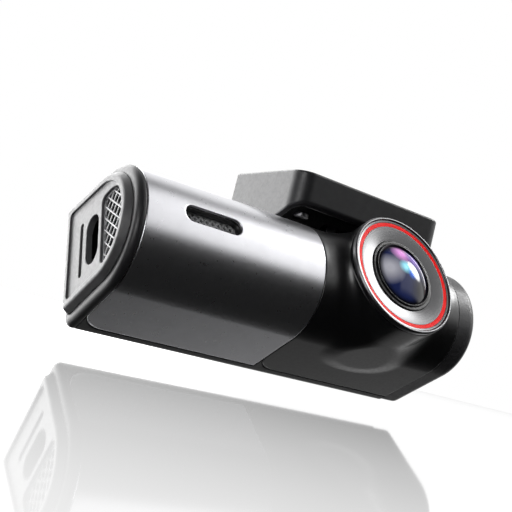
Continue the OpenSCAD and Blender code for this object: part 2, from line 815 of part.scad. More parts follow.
// A lens element about the lens axis: a rim, a domed front and a flat or hollow back.
module element(r, edge, rim, front_sphere, hollow_sphere) {
    front_apex = edge + front_sphere - sqrt(front_sphere * front_sphere - r * r);
    difference() {
        intersection() {
            lens_disc(r, edge - rim, front_apex + 1);
            translate([0, -(front_apex - front_sphere), 0]) sphere(front_sphere);
        }
        if (hollow_sphere > 0) {
            hollow_depth = hollow_sphere - sqrt(hollow_sphere * hollow_sphere - 0.7 * r * 0.7 * r);
            translate([0, -(edge - rim + hollow_depth - hollow_sphere), 0]) sphere(hollow_sphere);
        }
    }
}

module front_lens() {
    color([0.35, 0.4, 0.55, 0.5]) on_body() element(glass_r, glass_edge, 1.6, dome_r, 1.15 * glass_r);
}

middle_r = 4.4;
rear_r = 3.2;
stop_front = lens_front - 9.0;

module middle_lens() {
    color([0.4, 0.35, 0.6, 0.5]) on_body() element(middle_r, lens_front - 6.4, 0.8, 6.2, 0);
}

module rear_lens() {
    color([0.35, 0.5, 0.6, 0.5]) on_body() element(rear_r, stop_front - 1.8, 0.9, 5.0, 0);
}

module aperture_stop() {
    hole_r = 1.5;
    color([0.02, 0.02, 0.02]) on_body() difference() {
        lens_disc(middle_r, stop_front - 0.4, stop_front);
        lens_disc(hole_r, stop_front - 1, stop_front + 1);
    }
}

module lens_barrel() {
    head_outer = glass_r + 0.5;
    color([0.05, 0.05, 0.055]) on_body() lens_turned([
        [head_outer, glass_edge - 1.7 - 0.95], [head_outer, barrel_head_back], [thread_r, barrel_head_back],
        [thread_r, barrel_back], [rear_r - 0.6, barrel_back], [rear_r - 0.6, stop_front - 2.75],
        [rear_r + 0.02, stop_front - 2.75], [rear_r + 0.02, stop_front - 0.4], [middle_r - 0.5, stop_front - 0.4],
        [middle_r + 0.02, stop_front - 0.4], [middle_r + 0.02, lens_front - 6.35], [glass_r - 0.6, glass_edge - 2.9],
        [glass_r - 0.4, glass_edge - 1.65], [glass_r + 0.01, glass_edge - 1.65], [glass_r + 0.01, glass_edge - 2.65]
    ]);
}

module lens_holder() {
    base_w = 15;
    tube_front = barrel_head_back - 0.6;
    color([0.06, 0.06, 0.065]) on_body() difference() {
        union() {
            lens_disc(thread_r + 1.6, -sensor_board_y + 2.2, tube_front);
            along_y(-0.4, sensor_board_y) square([base_w, base_w], center = true);
            for (side = [-1, 1]) along_y(1, sensor_board_y) translate([side * holder_ear_x, 0])
                square([4, 5], center = true);
        }
        lens_disc(thread_r + 0.02, -0.2, lens_front);
        along_y(0.2, sensor_board_y + 1) square([9.4, 9.4], center = true);
        for (side = [-1, 1]) translate([side * holder_ear_x, 0, 0]) rod_y(0.6, 1.5, sensor_board_y + 1);
    }
}

holder_ear_x = 8.3;

module infrared_filter() {
    color([0.55, 0.75, 0.85, 0.6]) on_body() along_y(0.3, 0.6) square([9.2, 9.2], center = true);
}

module image_sensor() {
    color([0.15, 0.2, 0.25]) on_body() difference() {
        along_y(sensor_y, sensor_board_y) square([8.4, 7.2], center = true);
        along_y(sensor_y - 1, sensor_y + 0.3) square([6.4, 4.4], center = true);
    }
}

module sensor_board() {
    color([0.02, 0.18, 0.1]) on_body() difference() {
        along_y(sensor_board_y, sensor_board_y + sensor_board_t) square([sensor_board_w, sensor_board_w - 2], center = true);
        for (side = [-1, 1]) translate([side * holder_ear_x, 0, 0]) rod_y(0.75, 0, 10);
    }
}

module sensor_board_screws() {
    y0 = sensor_board_y + sensor_board_t;
    color([0.6, 0.6, 0.62]) on_body() for (side = [-1, 1]) translate([side * holder_ear_x, 0, 0]) {
        rod_y(0.58, 1.8, y0);
        difference() {
            rod_y(1.2, y0, y0 + 0.7);
            along_y(y0 + 0.35, y0 + 1) square([1.6, 0.3], center = true);
        }
    }
}

// ---------------------------------------------------------------- electronics

// Ribbon that leaves the sensor board, turns back on itself and ends on the main board.
module flex_cable() {
    ribbon = 0.25;
    bend_r = (board_y - sensor_board_y - sensor_board_t - 2 * ribbon) / 2;
    y0 = sensor_board_y + sensor_board_t;
    x_bend = 12.0;
    color([0.75, 0.5, 0.15]) on_body() translate([0, 0, -6.7]) linear_extrude(5) {
        translate([5.5, y0]) square([x_bend - 5.5, ribbon]);
        translate([5.5, board_y - ribbon]) square([x_bend - 5.5, ribbon]);
        translate([x_bend, (y0 + board_y) / 2]) difference() {
            circle(bend_r + ribbon);
            circle(bend_r);
            translate([-2 * bend_r, -2 * bend_r]) square([2 * bend_r, 4 * bend_r]);
        }
    }
}

module main_board() {
    color([0.02, 0.2, 0.12]) on_body() difference() {
        box_between([board_x0, board_y, -board_h / 2], [board_x1, board_y + board_t, board_h / 2]);
        at_posts() rod_y(screw_r + 0.2, 0, 20);
    }
}

chip_x = section_x0 + 3.5;
chip_w = 11;
chip_t = 1.2;
pad_height = 1.0;
spreader_t = 1.2;

module processor() {
    color([0.06, 0.06, 0.06]) on_body()
        box_between([chip_x - chip_w / 2, board_y - chip_t, -chip_w / 2], [chip_x + chip_w / 2, board_y, chip_w / 2]);
}

module thermal_pad() {
    y1 = board_y - chip_t;
    color([0.5, 0.6, 0.75]) on_body()
        box_between([chip_x - chip_w / 2 + 0.5, y1 - pad_height, -chip_w / 2 + 0.5],
            [chip_x + chip_w / 2 - 0.5, y1, chip_w / 2 - 0.5]);
}

module heat_spreader() {
    y1 = board_y - chip_t - pad_height;
    half = 8.5;
    fin = 3.2;
    color([0.75, 0.76, 0.78]) on_body() difference() {
        union() {
            box_between([chip_x - chip_w, y1 - spreader_t, -half], [chip_x + chip_w / 2 - 0.5, y1, half]);
            for (z = [-7:2.8:7]) box_between([chip_x - chip_w, y1 - spreader_t - fin, z - 0.4],
                [chip_x - 1.5, y1 - spreader_t + eps, z + 0.4]);
        }
    }
}

module memory_chips() {
    color([0.07, 0.07, 0.07]) on_body() for (side = [-1, 1])
        translate([chip_x + chip_w / 2 + 5.2, board_y - 1.0, side * 4.4]) box_between([-3.8, 0, -3.2], [3.8, 1.0, 3.2]);
}

module shield_can() {
    x0 = board_x1 - 12.8;
    can_l = 7;
    can_w = 5;
    can_t = 0.3;
    color([0.72, 0.73, 0.74]) on_body() translate([x0, board_y, 4.6]) difference() {
        box_between([0, -2, 0], [can_l, 0, can_w]);
        box_between([can_t, -2 + can_t, can_t], [can_l - can_t, 1, can_w - can_t]);
    }
}

module power_coils() {
    color([0.2, 0.2, 0.22]) on_body() for (z = [-6, -1, 4]) translate([chip_x + chip_w + 7.4, board_y - 2.2, z])
        box_between([-2, 0, -2], [2, 2.2, 2]);
}

cap_cell_r = 3.7;
cap_cell_l = 15.3;
cap_cell_x0 = sleeve_x0 + 18.9;

// Two cells side by side, lying along the main board, with a crimped end each.
module supercapacitors() {
    color([0.1, 0.15, 0.3]) on_body() for (side = [-1, 1])
        translate([cap_cell_x0, board_y - cap_cell_r - 0.1, side * (cap_cell_r + 0.4)]) {
            difference() {
                rod_x(cap_cell_r, 0, cap_cell_l);
                translate([2, 0, 0]) difference() {
                    rod_x(cap_cell_r + 1, 0, 0.7);
                    rod_x(cap_cell_r - 0.35, -1, 2);
                }
            }
            for (pin = [-1, 1]) translate([0, 0, pin * 1.3]) rod_x(0.3, -1.6, eps);
        }
}

module speaker() {
    x = sleeve_x0 + window_x;
    y0 = -(nose_r - under_sleeve - 1.6);
    color([0.1, 0.1, 0.1]) on_body() translate([x, 0, 0]) difference() {
        box_between([-7.5, y0, -4.6], [7.5, y0 + 3.4, 4.6]);
        along_y(y0 - 1, y0 + 0.6) slot(12, 6);
    }
}

port_board_y = port_y + 1.7;

module port_board() {
    color([0.02, 0.18, 0.1]) on_body()
        box_between([sleeve_x0 + 0.9, port_board_y, -6.4], [sleeve_x0 + 17, port_board_y + 0.8, 6.4]);
}

module board_header() {
    x = sleeve_x0 + 15.6;
    color([0.08, 0.08, 0.08]) on_body()
        box_between([x - 1, port_board_y + 0.8, -5.4], [x + 1, board_y, -1.4]);
}

module microphone() {
    color([0.8, 0.75, 0.6]) on_body()
        box_between([sleeve_x0 + 9.6, port_board_y - 1.1, 2.4], [sleeve_x0 + 12.4, port_board_y, 6.0]);
}

socket_x0 = floor_x + plate_floor + 0.7;
socket_l = 7.3;

module usb_socket() {
    color([0.75, 0.75, 0.76]) on_body() translate([0, port_y, slot_z]) difference() {
        along_x(socket_x0, socket_x0 + socket_l) rotate(90) slot(8.9, 3.2);
        along_x(socket_x0 - 1, socket_x0 + socket_l - 0.6) rotate(90) slot(8.3, 2.6);
    }
}

module usb_tongue() {
    color([0.05, 0.05, 0.05]) on_body() translate([0, port_y, slot_z])
        box_between([socket_x0 + 1.0, -0.35, -3.3], [socket_x0 + socket_l - 0.6, 0.35, 3.3]);
}

card_w = 11;
card_l = 15;
card_t = 0.7;
card_play = 0.1;
card_x0 = floor_x + 0.35;

// The housing that the memory card slides into, open towards the port plate.
module card_socket() {
    x0 = sleeve_x0 + 0.9;
    x1 = card_x0 + card_l + 1.4;
    color([0.7, 0.7, 0.72]) on_body() difference() {
        box_between([x0, card_y - 1.0, slot_z - 6.1], [x1, board_y, slot_z + 6.1]);
        box_between([x0 - 1, card_y - card_t / 2 - card_play, slot_z - card_w / 2 - card_play],
            [card_x0 + card_l + 0.4, card_y + card_t / 2 + card_play, slot_z + card_w / 2 + card_play]);
    }
}

module memory_card() {
    notch = 1.4;
    color([0.03, 0.03, 0.03]) on_body() difference() {
        box_between([card_x0, card_y - card_t / 2, slot_z - card_w / 2], [card_x0 + card_l, card_y + card_t / 2, slot_z + card_w / 2]);
        box_between([card_x0 + 8, card_y - 1, slot_z + card_w / 2 - notch], [card_x0 + card_l + 1, card_y + 1, slot_z + card_w]);
    }
}

module wifi_antenna() {
    y1 = body_depth - wall;
    color([0.7, 0.45, 0.12]) on_body() difference() {
        box_between([section_x0 - 20, y1 - 0.25, -3.5], [section_x0 + 2, y1, 3.5]);
        for (i = [0:2]) box_between([section_x0 - 18 + 6 * i, y1 - 1, -2.5], [section_x0 - 15 + 6 * i, y1 + 1, 1.5]);
    }
}

// Self-tapping screws from the back, through the rear shell and the main board into the posts.
module shell_screws() {
    head_y = body_depth - rear_head_depth;
    color([0.2, 0.2, 0.21]) on_body() at_posts() {
        rod_y(screw_r - 0.02, board_y - 7, head_y + eps);
        difference() {
            rod_y(screw_head_r, head_y, head_y + 1.1);
            for (turn = [0, 90]) along_y(head_y + 0.5, head_y + 2) rotate(turn) square([2, 0.4], center = true);
        }
    }
}

// ---------------------------------------------------------------- nodes

mount_shell();
adhesive_pad();
mount_base_cover();
mount_cover_screws();
hinge_screw();
hinge_nut();
friction_washers();
hinge_bracket();
hinge_bracket_screws();
metal_sleeve();
front_shell();
rear_shell();
end_frame();
port_plate();
end_grille();
end_cap();
sound_window_grille();
lens_bezel();
lens_face_ring();
accent_ring();
lens_seal();
lens_retainer();
front_lens();
middle_lens();
rear_lens();
aperture_stop();
lens_barrel();
lens_holder();
infrared_filter();
image_sensor();
sensor_board();
sensor_board_screws();
flex_cable();
main_board();
processor();
memory_chips();
shield_can();
thermal_pad();
heat_spreader();
power_coils();
supercapacitors();
speaker();
microphone();
port_board();
board_header();
usb_socket();
usb_tongue();
card_socket();
memory_card();
wifi_antenna();
shell_screws();
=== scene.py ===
"""Looks of the windscreen dash camera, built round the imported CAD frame.

Lengths in the shape functions are millimetres in the camera's body frame: the origin is where the lens axis
meets the nose axis, x runs along the camera, the lens looks along -y and the flat back faces +y.
"""

import json
import math

import bpy
import numpy as np
from mathutils import Matrix, Vector

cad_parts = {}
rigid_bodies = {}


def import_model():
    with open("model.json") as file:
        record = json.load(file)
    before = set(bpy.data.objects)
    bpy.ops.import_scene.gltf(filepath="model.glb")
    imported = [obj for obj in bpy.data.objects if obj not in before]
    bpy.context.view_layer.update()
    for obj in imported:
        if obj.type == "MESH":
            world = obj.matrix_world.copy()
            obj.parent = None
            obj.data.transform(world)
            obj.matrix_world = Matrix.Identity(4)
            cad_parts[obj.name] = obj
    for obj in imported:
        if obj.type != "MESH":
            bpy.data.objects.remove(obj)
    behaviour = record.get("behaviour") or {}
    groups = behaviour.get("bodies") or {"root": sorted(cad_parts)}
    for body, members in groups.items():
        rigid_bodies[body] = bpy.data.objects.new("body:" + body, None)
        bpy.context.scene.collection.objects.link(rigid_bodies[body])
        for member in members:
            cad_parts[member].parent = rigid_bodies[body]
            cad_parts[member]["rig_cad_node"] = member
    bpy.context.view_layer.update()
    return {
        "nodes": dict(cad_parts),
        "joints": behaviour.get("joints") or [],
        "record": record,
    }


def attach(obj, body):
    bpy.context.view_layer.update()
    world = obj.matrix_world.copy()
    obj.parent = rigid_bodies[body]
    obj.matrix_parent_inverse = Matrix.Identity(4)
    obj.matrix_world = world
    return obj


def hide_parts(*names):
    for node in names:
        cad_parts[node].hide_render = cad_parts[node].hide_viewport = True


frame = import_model()
MM = 0.001

# ---------------------------------------------------------------- driving dimensions, as in the CAD source

NOSE_R = 13.5
BODY_DEPTH = 17.6
TOP_SLOPE = math.radians(5)
BOTTOM_SLOPE = math.radians(1.6)
CORNER_R = 2.0
SECTION_X0, SECTION_X1 = -19.9, 19.9
SLEEVE_L, FRAME_T, PLATE_T, CAP_L = 42.4, 1.9, 1.5, 6.9
SLEEVE_X0 = SECTION_X0 - SLEEVE_L
FRAME_X0 = SLEEVE_X0 - FRAME_T
PLATE_X0 = FRAME_X0 - PLATE_T
CAP_X1 = SECTION_X1 + CAP_L
WALL = 1.5
SLEEVE_T = 0.8
GAP = 0.12
SLEEVE_SEAT = SLEEVE_T + GAP / 2
UNDER_SLEEVE = SLEEVE_SEAT + WALL
SEAM_Y = BODY_DEPTH - 3.4
SEAM_R = 4.7
PITCH = math.radians(30)
HINGE_Y, HINGE_Z = 2.0, NOSE_R + 5.7

LENS_FRONT = 16.65
BEZEL_R = 14.2
SEAT_R = BEZEL_R - 0.75
COLLAR_FRONT = LENS_FRONT - 1.3
FACE_FRONT = LENS_FRONT - 0.3
FACE_DISH = 0.7
FACE_T = 1.2
FACE_BACK = FACE_FRONT - FACE_T - 0.15
SEAL_R = 8.5
GLASS_R = 7.1
RETAINER_R = GLASS_R + 0.55
GLASS_EDGE = LENS_FRONT - 0.75
DOME_H = 2.1
ACCENT_R, ACCENT_W = 12.4, 0.9
BORE_R = BEZEL_R - WALL - 0.2
SEAL_L, RETAINER_L = 3.4, 3.0

WINDOW_X, WINDOW_L, WINDOW_H = SLEEVE_X0 + 14.7, 12.9, 3.6
POST_X = (SLEEVE_X0 + 7.8, SECTION_X1 - 4.2)
POST_Z = NOSE_R - 4.5
BOARD_Y, BOARD_T = 10.2, 1.2
LEDGE_R, LEDGE_BACK, LEDGE_FRONT = 8.9, LENS_FRONT - 9.7, LENS_FRONT - 7.9
POST_R, POST_HOLE_R = 2.1, 0.9
LUG_HALF_W, LUG_HALF_L, LUG_DEPTH = 3.75, 3.15, 3.5
BOSS_R, SCREW_R, HEAD_R, HEAD_DEPTH = 2.4, 1.05, 1.85, 1.6

MOUNT_W, MOUNT_D, MOUNT_WALL, MOUNT_CORNER, MOUNT_BACK = 43.6, 29.3, 1.8, 4.0, 1.2
PAD_T, PAD_PROUD, PAD_INSET, PAD_FIT, LIP_H = 1.0, 0.3, 2.4, 0.1, 6.9

hinge = Vector(next(j for j in frame["joints"] if j["name"] == "tilt")["pos_m"])
BODY_TO_ROW = (
    Matrix.Translation(hinge)
    @ Matrix.Rotation(-PITCH, 4, "X")
    @ Matrix.Translation(Vector((0, -HINGE_Y, -HINGE_Z)) * MM)
)
# Local Z of a turned lens piece is the lens axis, out towards the road.
LENS_TO_ROW = BODY_TO_ROW @ Matrix.Rotation(math.radians(90), 4, "X")
MOUNT_SHIFT = hinge.x / MM

# ---------------------------------------------------------------- shapes as distance functions


def both(a, b, r):
    """Where a and b overlap, with the edge between them rounded to radius r."""
    return np.minimum(np.maximum(a, b), -r) + np.hypot(np.maximum(a + r, 0), np.maximum(b + r, 0))


def either(a, b, r):
    """a and b together, with a fillet of radius r between them."""
    return -both(-a, -b, r)


def span(v, low, high):
    """Distance outside the slab from low to high."""
    return np.abs(v - (low + high) / 2) - (high - low) / 2


def outline(y, z, corner=CORNER_R):
    """The body's D section: a round nose, two nearly flat sides and a flat back with rounded corners."""
    top_y, top_z = -math.sin(TOP_SLOPE), math.cos(TOP_SLOPE)
    low_y, low_z = -math.sin(BOTTOM_SLOPE), -math.cos(BOTTOM_SLOPE)
    top = top_y * y + top_z * z - NOSE_R
    low = low_y * y + low_z * z - NOSE_R
    flats = both(both(top, y - BODY_DEPTH, corner), low, corner)
    on_nose = (top_y * z - top_z * y > 0) & (low_z * y - low_y * z > 0)
    return np.where(on_nose, np.hypot(y, z) - NOSE_R, flats)


def cover_plan(x, y, x0, x1, y1, r0, r1):
    """A cover seen from above: it ends at the seam y1, with its two back corners rounded."""
    return both(both(x0 - x, y - y1, r0), x - x1, r1)


def stadium(u, v, length, width):
    """A slot with round ends, long along u."""
    return np.hypot(np.maximum(np.abs(u) - (length - width) / 2, 0), v) - width / 2


def posts(x, z, radius):
    """Four rods along y, at the places where the two shells are screwed together."""
    nearest = np.minimum(np.abs(x - POST_X[0]), np.abs(x - POST_X[1]))
    return np.hypot(nearest, np.abs(z) - POST_Z) - radius


FLARE_UP, FLARE_OUT, FLARE_LOW = 2.6, 5.2, 3.4
UNDERSIDE = -13.9
COLLAR_BACK, COLLAR_FADE = 6.0, 6.0


def lens_housing(x, y, z):
    """The lens section's outside: the D body and the collar, joined by a wide concave flare."""
    body = outline(y, z)
    collar = both(np.hypot(x, z) - BEZEL_R, y - COLLAR_BACK, COLLAR_FADE)
    up = np.maximum(1 - body / FLARE_UP, 0)
    rise = np.clip((z + 13) / 20, 0, 1)
    reach = FLARE_LOW + (FLARE_OUT - FLARE_LOW) * rise * rise * (3 - 2 * rise)
    out = np.maximum(1 - collar / reach, 0)
    flared = FLARE_UP * (1 - np.hypot(up, out))
    flared = np.minimum(both(flared, UNDERSIDE - z, 0.3), body)
    return both(flared, -y - COLLAR_FRONT, 0.22)


def front_shell(x, y, z):
    """The lens section, the liner that runs on under the sleeve, and the four screw posts."""
    outside = lens_housing(x, y, z)
    plan = cover_plan(x, y, SECTION_X0 + GAP / 2, SECTION_X1, SEAM_Y, SEAM_R, 0.2)
    shell = both(both(outside, plan, 0.2), -(outline(y, z) + WALL), 0.1)
    bore = np.maximum(np.hypot(x, z) - BORE_R, y + 5)
    seat = np.maximum(np.hypot(x, z) - SEAT_R, y + FACE_BACK)
    shell = both(shell, -np.minimum(bore, seat), 0.1)
    ledge = np.maximum(span(np.hypot(x, z), LEDGE_R, BORE_R + 0.2), span(-y, LEDGE_BACK, LEDGE_FRONT))
    shell = np.minimum(shell, ledge)
    section = outline(y, z)
    liner = np.maximum(section + SLEEVE_SEAT, -(section + UNDER_SLEEVE))
    liner_plan = cover_plan(x, y, SLEEVE_X0 + GAP, SECTION_X0 + 2, SEAM_Y - 1, SEAM_R - 1, 0.1)
    liner = both(liner, liner_plan, 0.1)
    slot = np.maximum(stadium(x - WINDOW_X, z, WINDOW_L - 0.4, WINDOW_H - 0.4), y)
    liner = both(liner, -slot, 0.15)
    post = np.maximum(np.maximum(posts(x, z, POST_R), y - BOARD_Y), section + UNDER_SLEEVE - 0.3)
    shell = np.minimum(np.minimum(shell, liner), post)
    shell = np.maximum(shell, -np.maximum(posts(x, z, POST_HOLE_R), BOARD_Y - 9 - y))
    along = y * math.cos(TOP_SLOPE) + z * math.sin(TOP_SLOPE) - HINGE_Y
    lug = np.maximum(np.abs(x) - LUG_HALF_W, np.abs(along) - LUG_HALF_L)
    lug = np.maximum(lug, NOSE_R - LUG_DEPTH - z)
    return np.maximum(shell, -lug)


def metal_sleeve(x, y, z):
    """The thin metal cover over the port end's half of the body, with the sound window's slot."""
    wall = np.abs(outline(y, z) + SLEEVE_T / 2) - SLEEVE_T / 2
    plan = cover_plan(x, y, SLEEVE_X0 + GAP / 2, SECTION_X0 - GAP / 2, SEAM_Y, SEAM_R, 0.2)
    window = np.maximum(stadium(x - WINDOW_X, z, WINDOW_L, WINDOW_H), y)
    return both(both(wall, plan, 0.22), -window, 0.2)


def rear_shell(x, y, z):
    """The tray that closes the back, with a boss and a counterbored hole for each screw."""
    section = outline(y, z)
    covers = np.minimum(
        cover_plan(x, y, SLEEVE_X0 - GAP / 2, SECTION_X0, SEAM_Y + GAP, SEAM_R + GAP, 0.1),
        cover_plan(x, y, SECTION_X0 - GAP / 2, SECTION_X1 + 1, SEAM_Y + GAP, SEAM_R + GAP, 0.1),
    )
    tray = both(section, span(x, SLEEVE_X0, SECTION_X1), 0.2)
    tray = both(both(tray, -(section + WALL), 0.1), -covers, 0.2)
    boss = np.maximum(posts(x, z, BOSS_R), span(y, BOARD_Y + BOARD_T, BODY_DEPTH - WALL / 2))
    heads = np.maximum(posts(x, z, HEAD_R), BODY_DEPTH - HEAD_DEPTH - y)
    holes = np.minimum(posts(x, z, SCREW_R), heads)
    return both(np.minimum(tray, boss), -holes, 0.15)


PLATE_SEAT = UNDER_SLEEVE + 1.0


def end_frame(x, y, z):
    """The ring that carries the body's outline round to the port plate."""
    section = outline(y, z)
    ring = both(both(section, FRAME_X0 - x, 1.45), x - SLEEVE_X0 + 0.04, 0.2)
    spigot = np.maximum(section + UNDER_SLEEVE + 0.1, span(x, SLEEVE_X0 - 0.5, SLEEVE_X0 + 3))
    return both(np.minimum(ring, spigot), -(outline(y, z, 4.0) + PLATE_SEAT), 0.1)


PLATE_INSET, PLATE_TAPER, PLATE_RIM, PLATE_FLOOR_T = 1.8, 1.0, 1.3, 1.4
FLOOR_X = PLATE_X0 + 0.5
SLOT_Z = -0.7
GRILLE_SUNK = 0.6
CARD_Y, CARD_SLOT_L, CARD_SLOT_W = 8.4, 12.4, 1.2
PORT_Y, PORT_L, PORT_W = 3.5, 10.8, 5.2
GRILLE_R, GRILLE_EDGE, GRILLE_LOW, GRILLE_HIGH = 9.1, -0.4, -8.9, 6.7


def grille_leaf(y, z, grow=0.0):
    """The port end's grille opening: a round nose side, a straight side and rounded tips."""
    leaf = both(np.hypot(y, z) - GRILLE_R, y - GRILLE_EDGE, 1.5)
    return both(leaf, span(z, GRILLE_LOW, GRILLE_HIGH), 1.5) - grow


def port_plate(x, y, z):
    """The dished plate with the card slot, the plug recess and the grille's opening."""
    lean = (FRAME_X0 - x) * PLATE_TAPER / (FRAME_X0 - PLATE_X0)
    body = (outline(y, z, 3.2) + PLATE_INSET + lean) / math.hypot(1, PLATE_TAPER / PLATE_T)
    body = both(both(body, PLATE_X0 - x, 0.3), x - FRAME_X0 - 0.05, 0.1)
    spigot = np.maximum(outline(y, z, 4.0) + PLATE_SEAT + 0.1, span(x, FRAME_X0 - 0.5, FRAME_X0 + 1.6))
    plate = np.minimum(body, spigot)
    recess = both(outline(y, z, 5.2) + PLATE_INSET + PLATE_TAPER + PLATE_RIM, x - FLOOR_X, 0.25)
    plate = both(plate, -recess, 0.22)
    card = stadium(z - SLOT_Z, y - CARD_Y, CARD_SLOT_L, CARD_SLOT_W)
    port = stadium(z - SLOT_Z, y - PORT_Y, PORT_L, PORT_W)
    plate = both(plate, -np.minimum(np.minimum(card, port), grille_leaf(y, z)), 0.22)
    hollow = np.maximum(outline(y, z) + PLATE_SEAT + 0.6, FLOOR_X + PLATE_FLOOR_T - x)
    seat = np.maximum(grille_leaf(y, z, 0.35), FLOOR_X + GRILLE_SUNK - x)
    return np.maximum(plate, -np.minimum(hollow, seat))


def end_cap(x, y, z):
    """The closed end: a hollow cap with a wide rounded edge and a spigot."""
    section = outline(y, z)
    cap = both(both(section + 0.25, x - CAP_X1, 3.0), SECTION_X1 + 0.15 - x, 0.25)
    spigot = np.maximum(section + WALL + 0.1, span(x, SECTION_X1 - 1.6, SECTION_X1 + 0.8))
    hollow = both(section + WALL + 1.2, x - CAP_X1 + WALL + 0.3, 1.0)
    return both(np.minimum(cap, spigot), -hollow, 0.1)


# The wedge is in the row frame, in millimetres.
LIP_Y, LIP_Z = -MOUNT_D / 2, -PAD_PROUD - LIP_H
UNDERSIDE_DROP, RIDGE_BACK = 3.4, 1.6
RIDGE_Y = hinge.y / MM + RIDGE_BACK * math.cos(PITCH) - UNDERSIDE_DROP * math.sin(PITCH)
RIDGE_Z = hinge.z / MM - RIDGE_BACK * math.sin(PITCH) - UNDERSIDE_DROP * math.cos(PITCH)
BACK_ANGLE = PITCH - math.radians(20)
EAR_X, EAR_T, EAR_R = 4.6, 3.0, 3.8
NUT_R, NUT_SEAT, PIN_BORE_R = 2.8, 1, 1.55


def wedge_plan(x, y, inset=0.0):
    """The wedge seen from above: wide front corners and nearly sharp back ones."""
    across, depth = np.abs(x) - MOUNT_W / 2 + inset, MOUNT_D / 2 - inset
    front = both(across, -y - depth, MOUNT_CORNER - inset)
    return both(front, y - depth, max(MOUNT_BACK - inset, 0.4))


def mount_shell(x, y, z):
    """The hollow wedge, with a recess for the tape and two ears for the hinge screw."""
    lip_side = -(z - LIP_Z) * math.cos(PITCH) - (y - LIP_Y) * math.sin(PITCH)
    back_side = -(z - RIDGE_Z) * math.cos(BACK_ANGLE) - (y - RIDGE_Y) * math.sin(BACK_ANGLE)
    wedge = both(both(wedge_plan(x, y), z + PAD_PROUD, 0.6), both(lip_side, back_side, 3), 0.35)
    cavity = both(wedge_plan(x, y, MOUNT_WALL), z + PAD_T + MOUNT_WALL, 0.6)
    recess = np.maximum(wedge_plan(x, y, PAD_INSET - PAD_FIT), -PAD_T - z)
    shell = both(both(wedge, -cavity, 0.35), -recess, 0.1)
    dy, dz = y - hinge.y / MM, z - hinge.z / MM
    along = x - MOUNT_SHIFT
    eye = np.where(dz < 0, np.hypot(dy, dz), np.abs(dy)) - EAR_R
    side = span(np.abs(along), EAR_X, EAR_X + EAR_T)
    ear = both(both(eye, side, 0.3), z + PAD_T + 0.9, 0.1)
    shell = either(shell, ear, 0.5)
    seat = np.maximum(EAR_X + EAR_T - NUT_SEAT - along, along - EAR_X - EAR_T - NUT_SEAT)
    nut = np.maximum(np.hypot(dy, dz) - NUT_R, seat)
    bore = np.maximum(np.hypot(dy, dz) - PIN_BORE_R, np.abs(along) - EAR_X - EAR_T - NUT_SEAT)
    return np.maximum(shell, -np.minimum(bore, nut))


# ---------------------------------------------------------------- meshes from distance functions


def graded(low, high, coarse, fine, near):
    """Grid lines from low to high, close together round the places in near."""
    lines = [low]
    while lines[-1] < high:
        gap = min(abs(lines[-1] + fine - place) for place in near)
        lines.append(lines[-1] + min(coarse, max(fine, 0.3 * gap)))
    return np.array(lines)


def slope(shape, p, h=0.02):
    """Gradient of a distance function at many points."""
    columns = []
    for axis in range(3):
        step = np.zeros(3)
        step[axis] = h
        ahead, behind = p + step, p - step
        columns.append((shape(*ahead.T) - shape(*behind.T)) / (2 * h))
    return np.stack(columns, 1)


CELL_CORNERS = np.array([(i, j, k) for i in (0, 1) for j in (0, 1) for k in (0, 1)])
CELL_EDGES = [
    (a, b)
    for a in range(8)
    for b in range(a + 1, 8)
    if np.abs(CELL_CORNERS[a] - CELL_CORNERS[b]).sum() == 1
]


def cell_points(shape, lines, value, cells):
    """One point on the surface in each cell that it crosses."""
    low = np.stack([lines[a][cells[:, a]] for a in range(3)], 1)
    high = np.stack([lines[a][cells[:, a] + 1] for a in range(3)], 1)
    at = [value[tuple((cells + c).T)] for c in CELL_CORNERS]
    total, count = np.zeros(low.shape), np.zeros(len(low))
    for a, b in CELL_EDGES:
        crossed = (at[a] < 0) != (at[b] < 0)
        share = np.where(crossed, at[a] / np.where(crossed, at[a] - at[b], 1), 0)[:, None]
        place = CELL_CORNERS[a] * (1 - share) + CELL_CORNERS[b] * share
        total += np.where(crossed[:, None], place, 0)
        count += crossed
    p = low + (high - low) * total / count[:, None]
    margin = 0.02 * (high - low)
    for _ in range(6):
        g = slope(shape, p)
        f = shape(*p.T)
        p = p - (f / np.maximum((g * g).sum(1), 1e-3))[:, None] * g
        p = np.clip(p, low + margin, high - margin)
    return p


def skin_faces(inside, number):
    """A quad round every grid edge that crosses the surface, wound to face outwards."""
    quads = []
    for axis in range(3):
        u, v = (axis + 1) % 3, (axis + 2) % 3
        near, far = [slice(None)] * 3, [slice(None)] * 3
        near[axis], far[axis] = slice(0, -1), slice(1, None)
        first, second = inside[tuple(near)], inside[tuple(far)]
        at = np.argwhere(first != second)
        at = at[(at[:, u] > 0) & (at[:, v] > 0)]
        at = at[(at[:, u] < number.shape[u]) & (at[:, v] < number.shape[v])]
        ring = []
        for du, dv in ((-1, -1), (0, -1), (0, 0), (-1, 0)):
            cell = at.copy()
            cell[:, u] += du
            cell[:, v] += dv
            ring.append(number[tuple(cell.T)])
        ring = np.stack(ring, 1)
        outwards = first[tuple(at.T)]
        quads.append(np.where(outwards[:, None], ring, ring[:, ::-1]))
    return np.concatenate(quads)


def link(name, mesh, place=Matrix.Identity(4)):
    made = bpy.data.objects.new(name, mesh)
    bpy.context.scene.collection.objects.link(made)
    made.matrix_world = place
    return made


